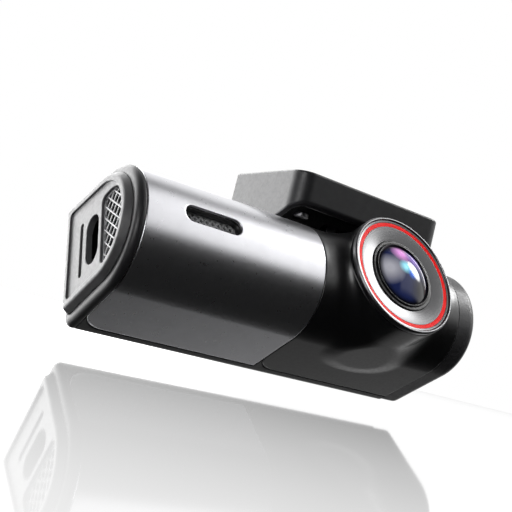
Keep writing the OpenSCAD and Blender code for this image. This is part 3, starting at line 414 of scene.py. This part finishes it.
def skin(name, shape, xs, ys, zs, place=Matrix.Identity(4)):
    """A smooth mesh of a distance function, in metres, with its normals taken from the function."""
    lines = (xs, ys, zs)
    grid = np.meshgrid(*lines, indexing="ij", sparse=True)
    value = np.broadcast_to(shape(*grid), [len(a) for a in lines]).astype(float)
    inside = value < 0
    nx, ny, nz = (n - 1 for n in inside.shape)
    count = sum(inside[i : nx + i, j : ny + j, k : nz + k].astype(np.int8) for i, j, k in CELL_CORNERS)
    mixed = (count > 0) & (count < 8)
    cells = np.argwhere(mixed)
    number = np.full(mixed.shape, -1)
    number[mixed] = np.arange(len(cells))
    points = cell_points(shape, lines, value, cells)
    faces = skin_faces(inside, number)
    mesh = bpy.data.meshes.new(name)
    mesh.from_pydata((points * MM).tolist(), [], faces.tolist())
    mesh.shade_smooth()
    normals = slope(shape, points)
    normals /= np.maximum(np.linalg.norm(normals, axis=1), 1e-9)[:, None]
    mesh.normals_split_custom_set_from_vertices(normals.tolist())
    return link(name, mesh, place)


# ---------------------------------------------------------------- turned lens pieces


def rounded(profile, r, steps=4):
    """A closed profile with each corner rounded by up to r."""
    made = []
    for i, p in enumerate(profile):
        p = Vector(p)
        before, after = Vector(profile[i - 1]) - p, Vector(profile[(i + 1) % len(profile)]) - p
        reach = min(r, 0.4 * before.length, 0.4 * after.length)
        a, b = p + before.normalized() * reach, p + after.normalized() * reach
        for s in range(steps + 1):
            t = s / steps
            made.append((a * (1 - t) + p * t) * (1 - t) + (p * (1 - t) + b * t) * t)
    return made


def turned(name, profile, segments=256, sharp=40, closed=True):
    """A profile of (radius, height) in millimetres, turned about the lens axis."""
    count = len(profile)
    angles = [2 * math.pi * s / segments for s in range(segments)]
    verts = [(p[0] * math.cos(a) * MM, p[0] * math.sin(a) * MM, p[1] * MM) for a in angles for p in profile]
    faces = []
    for s in range(segments):
        here, there = s * count, ((s + 1) % segments) * count
        for i in range(count if closed else count - 1):
            j = (i + 1) % count
            faces.append((here + i, there + i, there + j, here + j))
    mesh = bpy.data.meshes.new(name)
    mesh.from_pydata(verts, [], faces)
    mesh.shade_smooth()
    mesh.set_sharp_from_angle(angle=math.radians(sharp))
    return link(name, mesh, LENS_TO_ROW)


def face_at(r):
    """Height of the dished face at a radius."""
    return FACE_FRONT - FACE_DISH * (SEAT_R - r) / (SEAT_R - SEAL_R)


# ---------------------------------------------------------------- materials


class Finish:
    """A Principled material with helpers for procedural detail in object coordinates."""

    def __init__(self, name, colour, rough, metal=0.0, **sockets):
        self.material = bpy.data.materials.new(name)
        self.material.use_nodes = True
        self.tree = self.material.node_tree
        self.shader = self.tree.nodes["Principled BSDF"]
        self.set("Base Color", (*colour, 1))
        self.set("Roughness", rough)
        self.set("Metallic", metal)
        for socket, value in sockets.items():
            self.set(socket.replace("_", " "), value)
        self.colour, self.rough = colour, rough
        self.where = self.node("ShaderNodeTexCoord").outputs["Object"]
        self.height = None

    def set(self, socket, value):
        self.shader.inputs[socket].default_value = value

    def node(self, kind, **settings):
        made = self.tree.nodes.new(kind)
        for key, value in settings.items():
            setattr(made, key, value)
        return made

    def feed(self, source, target):
        self.tree.links.new(source, target)

    def scaled(self, x, y, z):
        made = self.node("ShaderNodeMapping")
        made.inputs["Scale"].default_value = (x, y, z)
        self.feed(self.where, made.inputs["Vector"])
        return made.outputs["Vector"]

    def noise(self, size_mm, detail=3.0, stretch=(1, 1, 1)):
        """Noise whose features are about size_mm across, drawn out along an axis by stretch."""
        made = self.node("ShaderNodeTexNoise")
        made.inputs["Scale"].default_value = 1.0
        made.inputs["Detail"].default_value = detail
        self.feed(self.scaled(*(1 / (size_mm * MM * s) for s in stretch)), made.inputs["Vector"])
        return made.outputs["Fac"]

    def ranged(self, source, low, high, start=0.3, end=0.7):
        made = self.node("ShaderNodeMapRange")
        for key, value in (("From Min", start), ("From Max", end), ("To Min", low), ("To Max", high)):
            made.inputs[key].default_value = value
        self.feed(source, made.inputs["Value"])
        return made.outputs["Result"]

    def mix(self, share, a, b):
        """A colour between a and b; each is a colour or a socket."""
        # On a colour Mix node, input 0 is the factor, 6 and 7 are the colours, and output 2 is the result.
        made = self.node("ShaderNodeMix", data_type="RGBA")
        for place, value in ((0, share), (6, a), (7, b)):
            if isinstance(value, bpy.types.NodeSocket):
                self.feed(value, made.inputs[place])
            else:
                made.inputs[place].default_value = value if place == 0 else (*value, 1)
        return made.outputs[2]

    def vary(self, size_mm=2.0, colour=0.15, rough=0.15, stretch=(1, 1, 1)):
        """Uneven colour and roughness, as handling and moulding leave."""
        source = self.noise(size_mm, 4, stretch)
        dark = tuple(c * (1 - colour) for c in self.colour)
        light = tuple(min(1, c * (1 + colour)) for c in self.colour)
        self.feed(self.mix(self.ranged(source, 0, 1), dark, light), self.shader.inputs["Base Color"])
        fine = self.noise(size_mm / 3, 4, stretch)
        self.feed(
            self.ranged(fine, self.rough * (1 - rough), min(1, self.rough * (1 + rough))),
            self.shader.inputs["Roughness"],
        )
        return self

    def bump(self, source, depth_mm, strength=1.0):
        made = self.node("ShaderNodeBump")
        made.inputs["Distance"].default_value = depth_mm * MM
        made.inputs["Strength"].default_value = strength
        self.feed(source, made.inputs["Height"])
        if self.height:
            self.feed(self.height, made.inputs["Normal"])
        self.height = made.outputs["Normal"]
        self.feed(self.height, self.shader.inputs["Normal"])
        return self

    def grain(self, size_mm=0.12, depth_mm=0.004, stretch=(1, 1, 1), detail=2.0):
        return self.bump(self.noise(size_mm, detail, stretch), depth_mm)


def moulded(name, colour, rough, grain=0.12, depth=0.004, **sockets):
    return Finish(name, colour, rough, **sockets).vary().grain(grain, depth)


def metal(name, colour, rough, stretch=(1, 1, 1), depth=0.002, **sockets):
    made = Finish(name, colour, rough, metal=1.0, **sockets)
    return made.vary(3, 0.03, 0.06, stretch).grain(0.2, depth, stretch)


def solder_mask():
    """A circuit board: green mask over a pattern of tracks, which read as slightly raised lines."""
    made = Finish("solder_mask", (0.012, 0.10, 0.045), 0.35, Coat_Weight=0.3)
    tracks = made.node("ShaderNodeTexBrick")
    for key, value in (("Scale", 1.0), ("Mortar Size", 0.012), ("Brick Width", 1.1), ("Row Height", 0.35)):
        tracks.inputs[key].default_value = value
    made.feed(made.scaled(700, 700, 700), tracks.inputs["Vector"])
    tracks.inputs["Color1"].default_value = (0.012, 0.10, 0.045, 1)
    tracks.inputs["Color2"].default_value = (0.016, 0.13, 0.06, 1)
    tracks.inputs["Mortar"].default_value = (0.05, 0.26, 0.12, 1)
    made.feed(tracks.outputs["Color"], made.shader.inputs["Base Color"])
    return made.bump(tracks.outputs["Fac"], 0.03)


def foam():
    made = Finish("foam", (0.035, 0.035, 0.036), 0.9).vary(0.8, 0.4, 0.05)
    cells = made.node("ShaderNodeTexVoronoi")
    cells.inputs["Scale"].default_value = 1 / (0.25 * MM)
    made.feed(made.where, cells.inputs["Vector"])
    return made.bump(cells.outputs["Distance"], 0.06)


def spun(name, colour, rough, pitch_mm=0.16, depth_mm=0.004, anisotropic=0.6):
    """Metal turned on a lathe: fine circles about the lens axis and a highlight that fans out from it."""
    made = Finish(name, colour, rough, metal=1.0, Anisotropic=anisotropic)
    tangent = made.node("ShaderNodeTangent", direction_type="RADIAL", axis="Z")
    made.feed(tangent.outputs["Tangent"], made.shader.inputs["Tangent"])
    parts = made.node("ShaderNodeSeparateXYZ")
    made.feed(made.where, parts.inputs["Vector"])
    squares = []
    for axis in ("X", "Y"):
        square = made.node("ShaderNodeMath", operation="POWER")
        made.feed(parts.outputs[axis], square.inputs[0])
        square.inputs[1].default_value = 2
        squares.append(square.outputs[0])
    total = made.node("ShaderNodeMath", operation="ADD")
    root = made.node("ShaderNodeMath", operation="SQRT")
    for place, source in enumerate(squares):
        made.feed(source, total.inputs[place])
    made.feed(total.outputs[0], root.inputs[0])
    made.radius = root.outputs[0]
    rings = made.node("ShaderNodeTexNoise", noise_dimensions="1D")
    rings.inputs["Scale"].default_value = 1 / (pitch_mm * MM)
    rings.inputs["Detail"].default_value = 4
    made.feed(made.radius, rings.inputs["W"])
    made.feed(made.ranged(rings.outputs["Fac"], rough * 0.8, rough * 1.25), made.shader.inputs["Roughness"])
    dark = tuple(c * 0.93 for c in colour)
    shade = made.mix(made.ranged(rings.outputs["Fac"], 0, 1), dark, colour)
    made.feed(shade, made.shader.inputs["Base Color"])
    return made.bump(rings.outputs["Fac"], depth_mm)


FINISHES = {
    "black_plastic": moulded("satin_black_plastic", (0.022, 0.022, 0.024), 0.42, 0.09, 0.004),
    "cover_plastic": moulded(
        "matt_black_plastic", (0.006, 0.006, 0.006), 0.75, 0.15, 0.01, Specular_IOR_Level=0.15,
    ),
    "gloss_black": moulded(
        "deep_black_plastic", (0.005, 0.005, 0.006), 0.33, 0.15, 0.001, Specular_IOR_Level=0.9,
    ),
    "sleeve_metal": metal("gunmetal", (0.76, 0.76, 0.79), 0.29, (1, 1, 1), 0.0008),
    "plate_plastic": moulded("grey_plastic", (0.10, 0.10, 0.103), 0.45, 0.1, 0.004),
    "cap_plastic": moulded("satin_cap_plastic", (0.045, 0.045, 0.048), 0.42, 0.15, 0.002),
    "grille_plastic": moulded("grille_plastic", (0.42, 0.42, 0.43), 0.4, 0.1, 0.003),
    "foam_tape": foam(),
    "rim_metal": metal("rim_metal", (0.16, 0.16, 0.165), 0.35, (1, 1, 1), 0.001),
    "face_metal": spun("spun_metal", (0.09, 0.09, 0.092), 0.2, anisotropic=0.3),
    # The red ring also glows a little by itself: painted light that keeps its red vivid.
    "accent_red": moulded(
        "red_enamel_painted_glow", (0.9, 0.008, 0.008), 0.4, 0.2, 0.001,
        Specular_IOR_Level=0.05, Emission_Color=(0.9, 0.008, 0.008, 1), Emission_Strength=0.35,
    ),
    "seal_rubber": moulded("seal_rubber", (0.008, 0.008, 0.008), 0.5, 0.1, 0.006),
    "retainer_black": moulded("retainer_black", (0.006, 0.006, 0.007), 0.3, 0.08, 0.002),
    "coated_glass": moulded("inner_glass", (0.05, 0.03, 0.12), 0.04, 3.0, 0.0005, Coat_Weight=1.0),
    "barrel_black": moulded("barrel_black", (0.006, 0.006, 0.006), 0.6, 0.2, 0.01),
    "filter_glass": moulded("filter_glass", (0.15, 0.35, 0.40), 0.05, 2.0, 0.0005),
    "sensor_die": moulded("sensor_die", (0.05, 0.08, 0.12), 0.12, 0.02, 0.0005),
    "board_green": solder_mask(),
    "chip_black": moulded("chip_black", (0.02, 0.02, 0.021), 0.55, 0.08, 0.004),
    "tin_plate": metal("tin_plate", (0.62, 0.62, 0.63), 0.32, (6, 1, 1)),
    "flex_amber": moulded("flex_amber", (0.42, 0.19, 0.03), 0.3, 0.6, 0.004),
    "thermal_rubber": moulded("thermal_rubber", (0.28, 0.38, 0.52), 0.7, 0.4, 0.02),
    "spreader_metal": metal("spreader_metal", (0.68, 0.69, 0.71), 0.38, (1, 1, 8)),
    "capacitor_blue": moulded("capacitor_blue", (0.02, 0.05, 0.20), 0.28, 0.8, 0.004),
    "microphone_metal": metal("microphone_metal", (0.78, 0.62, 0.30), 0.3),
    "card_black": moulded("card_black", (0.015, 0.015, 0.016), 0.5, 0.1, 0.005),
    "antenna_copper": metal("antenna_copper", (0.78, 0.40, 0.20), 0.3, (5, 1, 1)),
    "bracket_plastic": moulded("bracket_plastic", (0.02, 0.02, 0.021), 0.5, 0.12, 0.006),
    "hinge_steel": metal("hinge_steel", (0.05, 0.05, 0.052), 0.45),
    "washer_nylon": moulded("washer_nylon", (0.03, 0.03, 0.03), 0.6, 0.2, 0.004),
    "screw_steel": metal("screw_steel", (0.22, 0.22, 0.23), 0.35),
}

SLOT_OF = {part["node"]: part["material_slot"] for part in frame["record"]["subparts"]}


def dress(piece, slot, finish=None):
    """Gives a piece its material: the finish for its slot of the record, or the finish given."""
    piece.data.materials.clear()
    piece.data.materials.append((finish or FINISHES[slot]).material)


def stand_for(piece, body, *nodes, finish=None):
    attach(piece, body)
    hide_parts(*nodes)
    dress(piece, SLOT_OF[nodes[0]], finish)
    return piece


# ---------------------------------------------------------------- covers

# Heights near the rounded back corners, where the grids are finer.
BACK_CORNERS = (-13.2, 14.8)


def section_skin(name, shape, node, xs, ys, zs):
    return stand_for(skin(name, shape, xs, ys, zs, BODY_TO_ROW), "camera", node)


window_ends = (WINDOW_X - WINDOW_L / 2, WINDOW_X + WINDOW_L / 2)
section_skin(
    "front_shell_skin", front_shell, "front_shell",
    graded(SLEEVE_X0 - 0.5, SECTION_X1 + 0.6, 0.75, 0.12, (SECTION_X0, SECTION_X1, -BEZEL_R, BEZEL_R)),
    graded(-COLLAR_FRONT - 0.6, SEAM_Y + 0.6, 0.42, 0.12, (-COLLAR_FRONT, SEAM_Y)),
    graded(-NOSE_R - 1.4, NOSE_R + 1.8, 0.42, 0.2, (-BEZEL_R, BEZEL_R)),
)
section_skin(
    "sleeve_skin", metal_sleeve, "metal_sleeve",
    graded(SLEEVE_X0 - 0.5, SECTION_X0 + 0.5, 0.9, 0.1, (SLEEVE_X0, SECTION_X0, *window_ends)),
    graded(-NOSE_R - 0.5, SEAM_Y + 0.6, 0.36, 0.1, (-NOSE_R, SEAM_Y)),
    graded(-NOSE_R - 0.6, NOSE_R + 1.8, 0.36, 0.1, (-WINDOW_H / 2, WINDOW_H / 2)),
)
section_skin(
    "rear_shell_skin", rear_shell, "rear_shell",
    graded(SLEEVE_X0 - 0.5, SECTION_X1 + 0.6, 0.7, 0.12, (SLEEVE_X0, SECTION_X0, SECTION_X1)),
    graded(SEAM_Y - 6.2, BODY_DEPTH + 0.5, 0.35, 0.12, (SEAM_Y, BODY_DEPTH)),
    graded(-NOSE_R - 0.9, NOSE_R + 2.4, 0.4, 0.15, BACK_CORNERS),
)
section_skin(
    "end_frame_skin", end_frame, "end_frame",
    graded(FRAME_X0 - 0.5, SLEEVE_X0 + 3.5, 0.4, 0.1, (FRAME_X0, SLEEVE_X0)),
    graded(-NOSE_R - 0.5, BODY_DEPTH + 0.5, 0.25, 0.15, (-NOSE_R, BODY_DEPTH)),
    graded(-NOSE_R - 0.9, NOSE_R + 2.4, 0.25, 0.15, BACK_CORNERS),
)
section_skin(
    "port_plate_skin", port_plate, "port_plate",
    graded(PLATE_X0 - 0.4, FRAME_X0 + 2.1, 0.25, 0.08, (PLATE_X0, FLOOR_X)),
    graded(-NOSE_R + 1, BODY_DEPTH - 1, 0.2, 0.1, (PORT_Y - 2.6, PORT_Y + 2.6, CARD_Y)),
    graded(-NOSE_R + 1, NOSE_R, 0.2, 0.15, (SLOT_Z - 6, SLOT_Z + 6)),
)
section_skin(
    "end_cap_skin", end_cap, "end_cap",
    graded(SECTION_X1 - 2, CAP_X1 + 0.5, 0.3, 0.1, (SECTION_X1, CAP_X1)),
    graded(-NOSE_R - 0.5, BODY_DEPTH + 0.5, 0.35, 0.2, (-NOSE_R, BODY_DEPTH)),
    graded(-NOSE_R - 0.9, NOSE_R + 2.4, 0.35, 0.2, BACK_CORNERS),
)
mount = skin(
    "mount_skin", mount_shell,
    graded(-MOUNT_W / 2 - 0.5, MOUNT_W / 2 + 0.6, 0.45, 0.15, (-MOUNT_W / 2, MOUNT_W / 2)),
    graded(-MOUNT_D / 2 - 0.5, MOUNT_D / 2 + 0.6, 0.4, 0.15, (-MOUNT_D / 2, MOUNT_D / 2)),
    graded(-18.5, 0.2, 0.35, 0.12, (-PAD_T, -PAD_PROUD, LIP_Z)),
)
stand_for(mount, "mount", "mount_shell")

# ---------------------------------------------------------------- foam pad


def foam_pad(x, y, z):
    return both(wedge_plan(x, y, PAD_INSET), span(z, -PAD_T, 0), 0.12)


pad = skin(
    "adhesive_pad_skin", foam_pad,
    graded(-MOUNT_W / 2, MOUNT_W / 2, 0.8, 0.08, (-MOUNT_W / 2 + PAD_INSET, MOUNT_W / 2 - PAD_INSET)),
    graded(-MOUNT_D / 2, MOUNT_D / 2, 0.8, 0.08, (-MOUNT_D / 2 + PAD_INSET, MOUNT_D / 2 - PAD_INSET)),
    graded(-PAD_T - 0.3, 0.3, 0.15, 0.06, (-PAD_T, 0)),
)
stand_for(pad, "mount", "adhesive_pad")

# ---------------------------------------------------------------- lens


def lens_piece(name, node, profile, r, finish=None, **options):
    return stand_for(turned(name, rounded(profile, r), **options), "camera", node, finish=finish)


rim_outer = BEZEL_R - 0.05
lens_piece("bezel_skin", "lens_bezel", [
    (SEAT_R, COLLAR_FRONT + 0.02), (rim_outer - 0.22, COLLAR_FRONT + 0.02),
    (rim_outer - 0.22, COLLAR_FRONT + 0.2), (rim_outer, COLLAR_FRONT + 0.26),
    (rim_outer, LENS_FRONT - 0.3), (rim_outer - 0.25, LENS_FRONT),
    (SEAT_R + 0.15, LENS_FRONT), (SEAT_R, LENS_FRONT - 0.2),
], 0.09)
accent_in, accent_out = ACCENT_R - ACCENT_W / 2, ACCENT_R + ACCENT_W / 2
ring_outer, ring_inner, groove = SEAT_R - 0.06, SEAL_R + 0.05, 0.35
lens_piece("face_ring_skin", "lens_face_ring", [
    (ring_outer, FACE_BACK), (ring_outer, face_at(ring_outer)), (accent_out, face_at(accent_out)),
    (accent_out, face_at(accent_out) - groove), (accent_in, face_at(accent_in) - groove),
    (accent_in, face_at(accent_in)), (ring_inner, face_at(ring_inner)),
    (ring_inner, face_at(ring_inner) - FACE_T),
    (ring_outer - 1.2, FACE_BACK),
], 0.05)
lens_piece("accent_skin", "accent_ring", [
    (accent_in + 0.02, face_at(accent_in) - 0.34), (accent_out - 0.02, face_at(accent_out) - 0.34),
    (accent_out - 0.02, face_at(accent_out) - 0.02), (accent_in + 0.02, face_at(accent_in) - 0.02),
], 0.05)
seal_front, seal_inner = face_at(SEAL_R) + 0.25, RETAINER_R + 0.02
lens_piece("seal_skin", "lens_seal", [
    (SEAL_R, seal_front - SEAL_L), (SEAL_R, seal_front), (seal_inner, seal_front),
    (seal_inner, seal_front - SEAL_L),
], 0.22)
retainer_front = GLASS_EDGE + 0.35
lens_piece("retainer_skin", "lens_retainer", [
    (RETAINER_R, retainer_front - RETAINER_L), (RETAINER_R, retainer_front - 0.1),
    (RETAINER_R - 0.25, retainer_front),
    (GLASS_R + 0.12, retainer_front - 0.15), (GLASS_R + 0.02, retainer_front - 0.5),
    (GLASS_R + 0.02, retainer_front - RETAINER_L),
], 0.06)


def spot(made, x_mm, y_mm, inner, outer):
    """1 near a place on the glass, 0 beyond outer millimetres from it; x is right and y is up."""
    away = made.node("ShaderNodeVectorMath", operation="DISTANCE")
    flat = made.node("ShaderNodeMapping")
    flat.inputs["Scale"].default_value = (1, 1, 0)
    made.feed(made.where, flat.inputs["Vector"])
    made.feed(flat.outputs["Vector"], away.inputs[0])
    away.inputs[1].default_value = (x_mm * MM, y_mm * MM, 0)
    return made.ranged(away.outputs["Value"], 1, 0, inner * MM, outer * MM)


def painted_reflection_glass():
    """The front glass, coated: painted reflections in coloured zones fixed on the glass over a dark barrel,
    a painted dark band round its rim, and the same colours glowing as painted light.
    """
    deep = (0.01, 0.015, 0.06)
    coat = {"Coat_Weight": 0.25, "Coat_Roughness": 0.03}
    made = Finish("front_glass_painted_reflections", deep, 0.06, **coat, Specular_IOR_Level=0.25)
    # Each painted reflection is its colour, then where it lies on the glass and its inner and outer radius.
    # These colours are painted reflections of the studio on the glass, not colours of the coating.
    painted_reflections = (
        ((0.34, 0.34, 0.38), (-4.9, 0.0, 0.8, 4.0)),
        ((0.75, 0.30, 0.72), (-0.8, 4.6, 0.3, 2.8)),
        ((0.16, 0.08, 0.42), (2.8, 3.6, 0.3, 3.0)),
        ((0.30, 0.80, 0.95), (-0.8, 0.9, 0.2, 1.9)),
        ((0.01, 0.14, 0.75), (1.0, -0.4, 0.2, 1.6)),
        ((0.005, 0.01, 0.09), (2.9, 0.2, 0.3, 2.2)),
        ((0.003, 0.003, 0.006), (4.2, -3.6, 1.6, 4.6)),
    )
    colour = deep
    for reflection_colour, place in painted_reflections:
        colour = made.mix(spot(made, *place), colour, reflection_colour)
    # A painted dark band round the rim of the glass: painted shade, to make the barrel look deep.
    colour = made.mix(spot(made, 0, 0, 6.0, 6.9), (0.002, 0.002, 0.003), colour)
    made.feed(colour, made.shader.inputs["Base Color"])
    # The glass also glows with the same painted colours: painted light, not a lamp.
    made.feed(colour, made.shader.inputs["Emission Color"])
    made.set("Emission Strength", 0.7)
    return made


dome_r = (GLASS_R**2 + DOME_H**2) / (2 * DOME_H)
dome_centre = GLASS_EDGE + DOME_H - dome_r
DOME_STEPS = 40
dome_radii = [GLASS_R * i / DOME_STEPS for i in range(DOME_STEPS + 1)]
dome = [(r, dome_centre + math.sqrt(dome_r**2 - r**2)) for r in dome_radii]
dome[0] = (0.001, dome[0][1])
glass_back = [
    (GLASS_R, GLASS_EDGE - 1.6), (4.9, GLASS_EDGE - 1.6), (3.6, GLASS_EDGE - 1.0), (1.8, GLASS_EDGE - 0.4),
    (0.001, GLASS_EDGE - 0.2),
]
glass_profile = list(reversed(dome)) + list(reversed(glass_back))
front_glass = turned("front_glass_skin", glass_profile, sharp=35, closed=False)
stand_for(front_glass, "camera", "front_lens", finish=painted_reflection_glass())

# ---------------------------------------------------------------- CAD nodes that stay

WELD_MM, SOFT_EDGE_MM = 0.01, 0.06
for name, node in frame["nodes"].items():
    if node.hide_render:
        continue
    dress(node, SLOT_OF[name])
    weld = node.modifiers.new("weld", "WELD")
    weld.merge_threshold = WELD_MM * MM
    bevel = node.modifiers.new("soft_edges", "BEVEL")
    bevel.width = SOFT_EDGE_MM * MM
    bevel.segments = 2
    bevel.limit_method = "ANGLE"
    bevel.angle_limit = math.radians(40)
    bevel.harden_normals = True

# ---------------------------------------------------------------- floor, light and camera

scene = bpy.context.scene
scene.view_settings.view_transform = "Standard"

# Height of the floor, in metres, a little below the object.
FLOOR_Z = -0.0495


def shader_node(tree, kind, **settings):
    made = tree.nodes.new(kind)
    for key, value in settings.items():
        setattr(made, key, value)
    return made


def pale_floor():
    """A floor that glows pale by itself and mirrors the object where it is seen at a low angle."""
    made = bpy.data.materials.new("pale_floor")
    made.use_nodes = True
    nodes, links = made.node_tree.nodes, made.node_tree.links
    nodes.clear()
    glow = shader_node(made.node_tree, "ShaderNodeEmission")
    glow.inputs["Strength"].default_value = 1.0
    polish = shader_node(made.node_tree, "ShaderNodeBsdfGlossy")
    polish.inputs["Roughness"].default_value = 0.04
    polish.inputs["Color"].default_value = (1, 1, 1, 1)
    weight = shader_node(made.node_tree, "ShaderNodeLayerWeight")
    weight.inputs["Blend"].default_value = 0.12
    blend = shader_node(made.node_tree, "ShaderNodeMixShader")
    out = shader_node(made.node_tree, "ShaderNodeOutputMaterial")
    links.new(weight.outputs["Fresnel"], blend.inputs["Fac"])
    links.new(glow.outputs["Emission"], blend.inputs[1])
    links.new(polish.outputs["BSDF"], blend.inputs[2])
    links.new(blend.outputs["Shader"], out.inputs["Surface"])
    return made


FLOOR_HALF = 3
floor_corners = [(x * FLOOR_HALF, y * FLOOR_HALF, FLOOR_Z) for x, y in ((-1, -1), (1, -1), (1, 1), (-1, 1))]
floor_mesh = bpy.data.meshes.new("floor")
floor_mesh.from_pydata(floor_corners, [], [(0, 1, 2, 3)])
floor = link("floor", floor_mesh)
floor.data.materials.append(pale_floor())
floor.visible_glossy = False
floor.visible_diffuse = False

world = bpy.data.worlds.new("studio")
scene.world = world
world.use_nodes = True
tree = world.node_tree
tree.nodes.clear()


def world_math(operation, a, b=None):
    made = shader_node(tree, "ShaderNodeMath", operation=operation)
    for place, value in enumerate((a, b)):
        if value is None:
            continue
        if isinstance(value, bpy.types.NodeSocket):
            tree.links.new(value, made.inputs[place])
        else:
            made.inputs[place].default_value = value
    return made.outputs[0]


def ramp(source, start, end):
    """0 below start and 1 above end, or the other way round, with a soft step between."""
    made = shader_node(tree, "ShaderNodeMapRange", interpolation_type="SMOOTHSTEP")
    tree.links.new(source, made.inputs["Value"])
    made.inputs["From Min"].default_value = min(start, end)
    made.inputs["From Max"].default_value = max(start, end)
    made.inputs["To Min"].default_value = 0.0 if start < end else 1.0
    made.inputs["To Max"].default_value = 1.0 if start < end else 0.0
    return made.outputs["Result"]


direction = shader_node(tree, "ShaderNodeTexCoord").outputs["Generated"]
parts = shader_node(tree, "ShaderNodeSeparateXYZ")
tree.links.new(direction, parts.inputs["Vector"])
to_x, to_y, to_z = parts.outputs
# Angle about the camera's length: 0 is the road side, 90 is up and 180 is behind, in degrees.
turn = world_math("MULTIPLY", world_math("ARCTAN2", to_z, world_math("MULTIPLY", to_y, -1)), 180 / math.pi)


def towards(vector, inner, outer):
    """A soft round patch of light about a direction, full within inner degrees and gone at outer."""
    aim = Vector(vector).normalized()
    dot = shader_node(tree, "ShaderNodeVectorMath", operation="DOT_PRODUCT")
    tree.links.new(direction, dot.inputs[0])
    dot.inputs[1].default_value = aim
    return ramp(dot.outputs["Value"], math.cos(math.radians(outer)), math.cos(math.radians(inner)))


KEY, OVERHEAD, AMBIENT = 1.25, 0.12, 0.012
# Round patches: the direction each comes from, its inner and outer angle in degrees, and its strength.
PATCHES = (
    ((-0.36, 0.93, 0.09), 25, 55, 5.5),
    ((-0.82, -0.54, 0.19), 6, 18, 6.0),
    ((0.775, -0.06, 0.63), 6, 13, 14.0),
    ((0.518, 0.849, 0.1), 40, 60, 1.0),
)
# The key light fills the sky from low on the road side to overhead, on the closed end's side only.
key = world_math("MULTIPLY", ramp(turn, 12, 30), ramp(turn, 106, 84))
key = world_math("MULTIPLY", key, ramp(to_x, 0.26, 0.38))
key = world_math("MULTIPLY", key, KEY)
overhead = world_math("MULTIPLY", ramp(turn, 84, 106), ramp(to_z, 0.0, 0.25))
overhead = world_math("MULTIPLY", overhead, OVERHEAD)
patches = [world_math("MULTIPLY", towards(aim, inner, outer), power) for aim, inner, outer, power in PATCHES]
strength = AMBIENT
for light in (key, overhead, *patches):
    strength = world_math("ADD", light, strength)

# The camera sees a plain white sky, and everything else sees the lights.
lights = shader_node(tree, "ShaderNodeBackground")
tree.links.new(strength, lights.inputs["Strength"])
backdrop = shader_node(tree, "ShaderNodeBackground")
for sky in (lights, backdrop):
    sky.inputs["Color"].default_value = (1, 1, 1, 1)
pick = shader_node(tree, "ShaderNodeMixShader")
tree.links.new(shader_node(tree, "ShaderNodeLightPath").outputs["Is Camera Ray"], pick.inputs["Fac"])
tree.links.new(lights.outputs["Background"], pick.inputs[1])
tree.links.new(backdrop.outputs["Background"], pick.inputs[2])
out = shader_node(tree, "ShaderNodeOutputWorld")
tree.links.new(pick.outputs["Shader"], out.inputs["Surface"])

# The camera stands on the port end's side of the lens and a little below it, and it is rolled.
AZIMUTH, ELEVATION, ROLL = math.radians(31.4), math.radians(-5.9), math.radians(13.9)
CAMERA_FROM_HINGE = Vector((-126.1, -169.65, -30.94)) * MM
CAMERA_LENS = 61.05
across = math.cos(ELEVATION)
to_camera = Vector((-math.sin(AZIMUTH) * across, -math.cos(AZIMUTH) * across, math.sin(ELEVATION)))
camera = bpy.data.objects.new("camera", bpy.data.cameras.new("camera"))
scene.collection.objects.link(camera)
camera.data.lens = CAMERA_LENS
camera.data.clip_start, camera.data.clip_end = 0.01, 20
camera.location = hinge + CAMERA_FROM_HINGE
level = (-to_camera).to_track_quat("-Z", "Y").to_matrix().to_4x4()
camera.matrix_world = Matrix.Translation(camera.location) @ level @ Matrix.Rotation(ROLL, 4, "Z")
scene.camera = camera
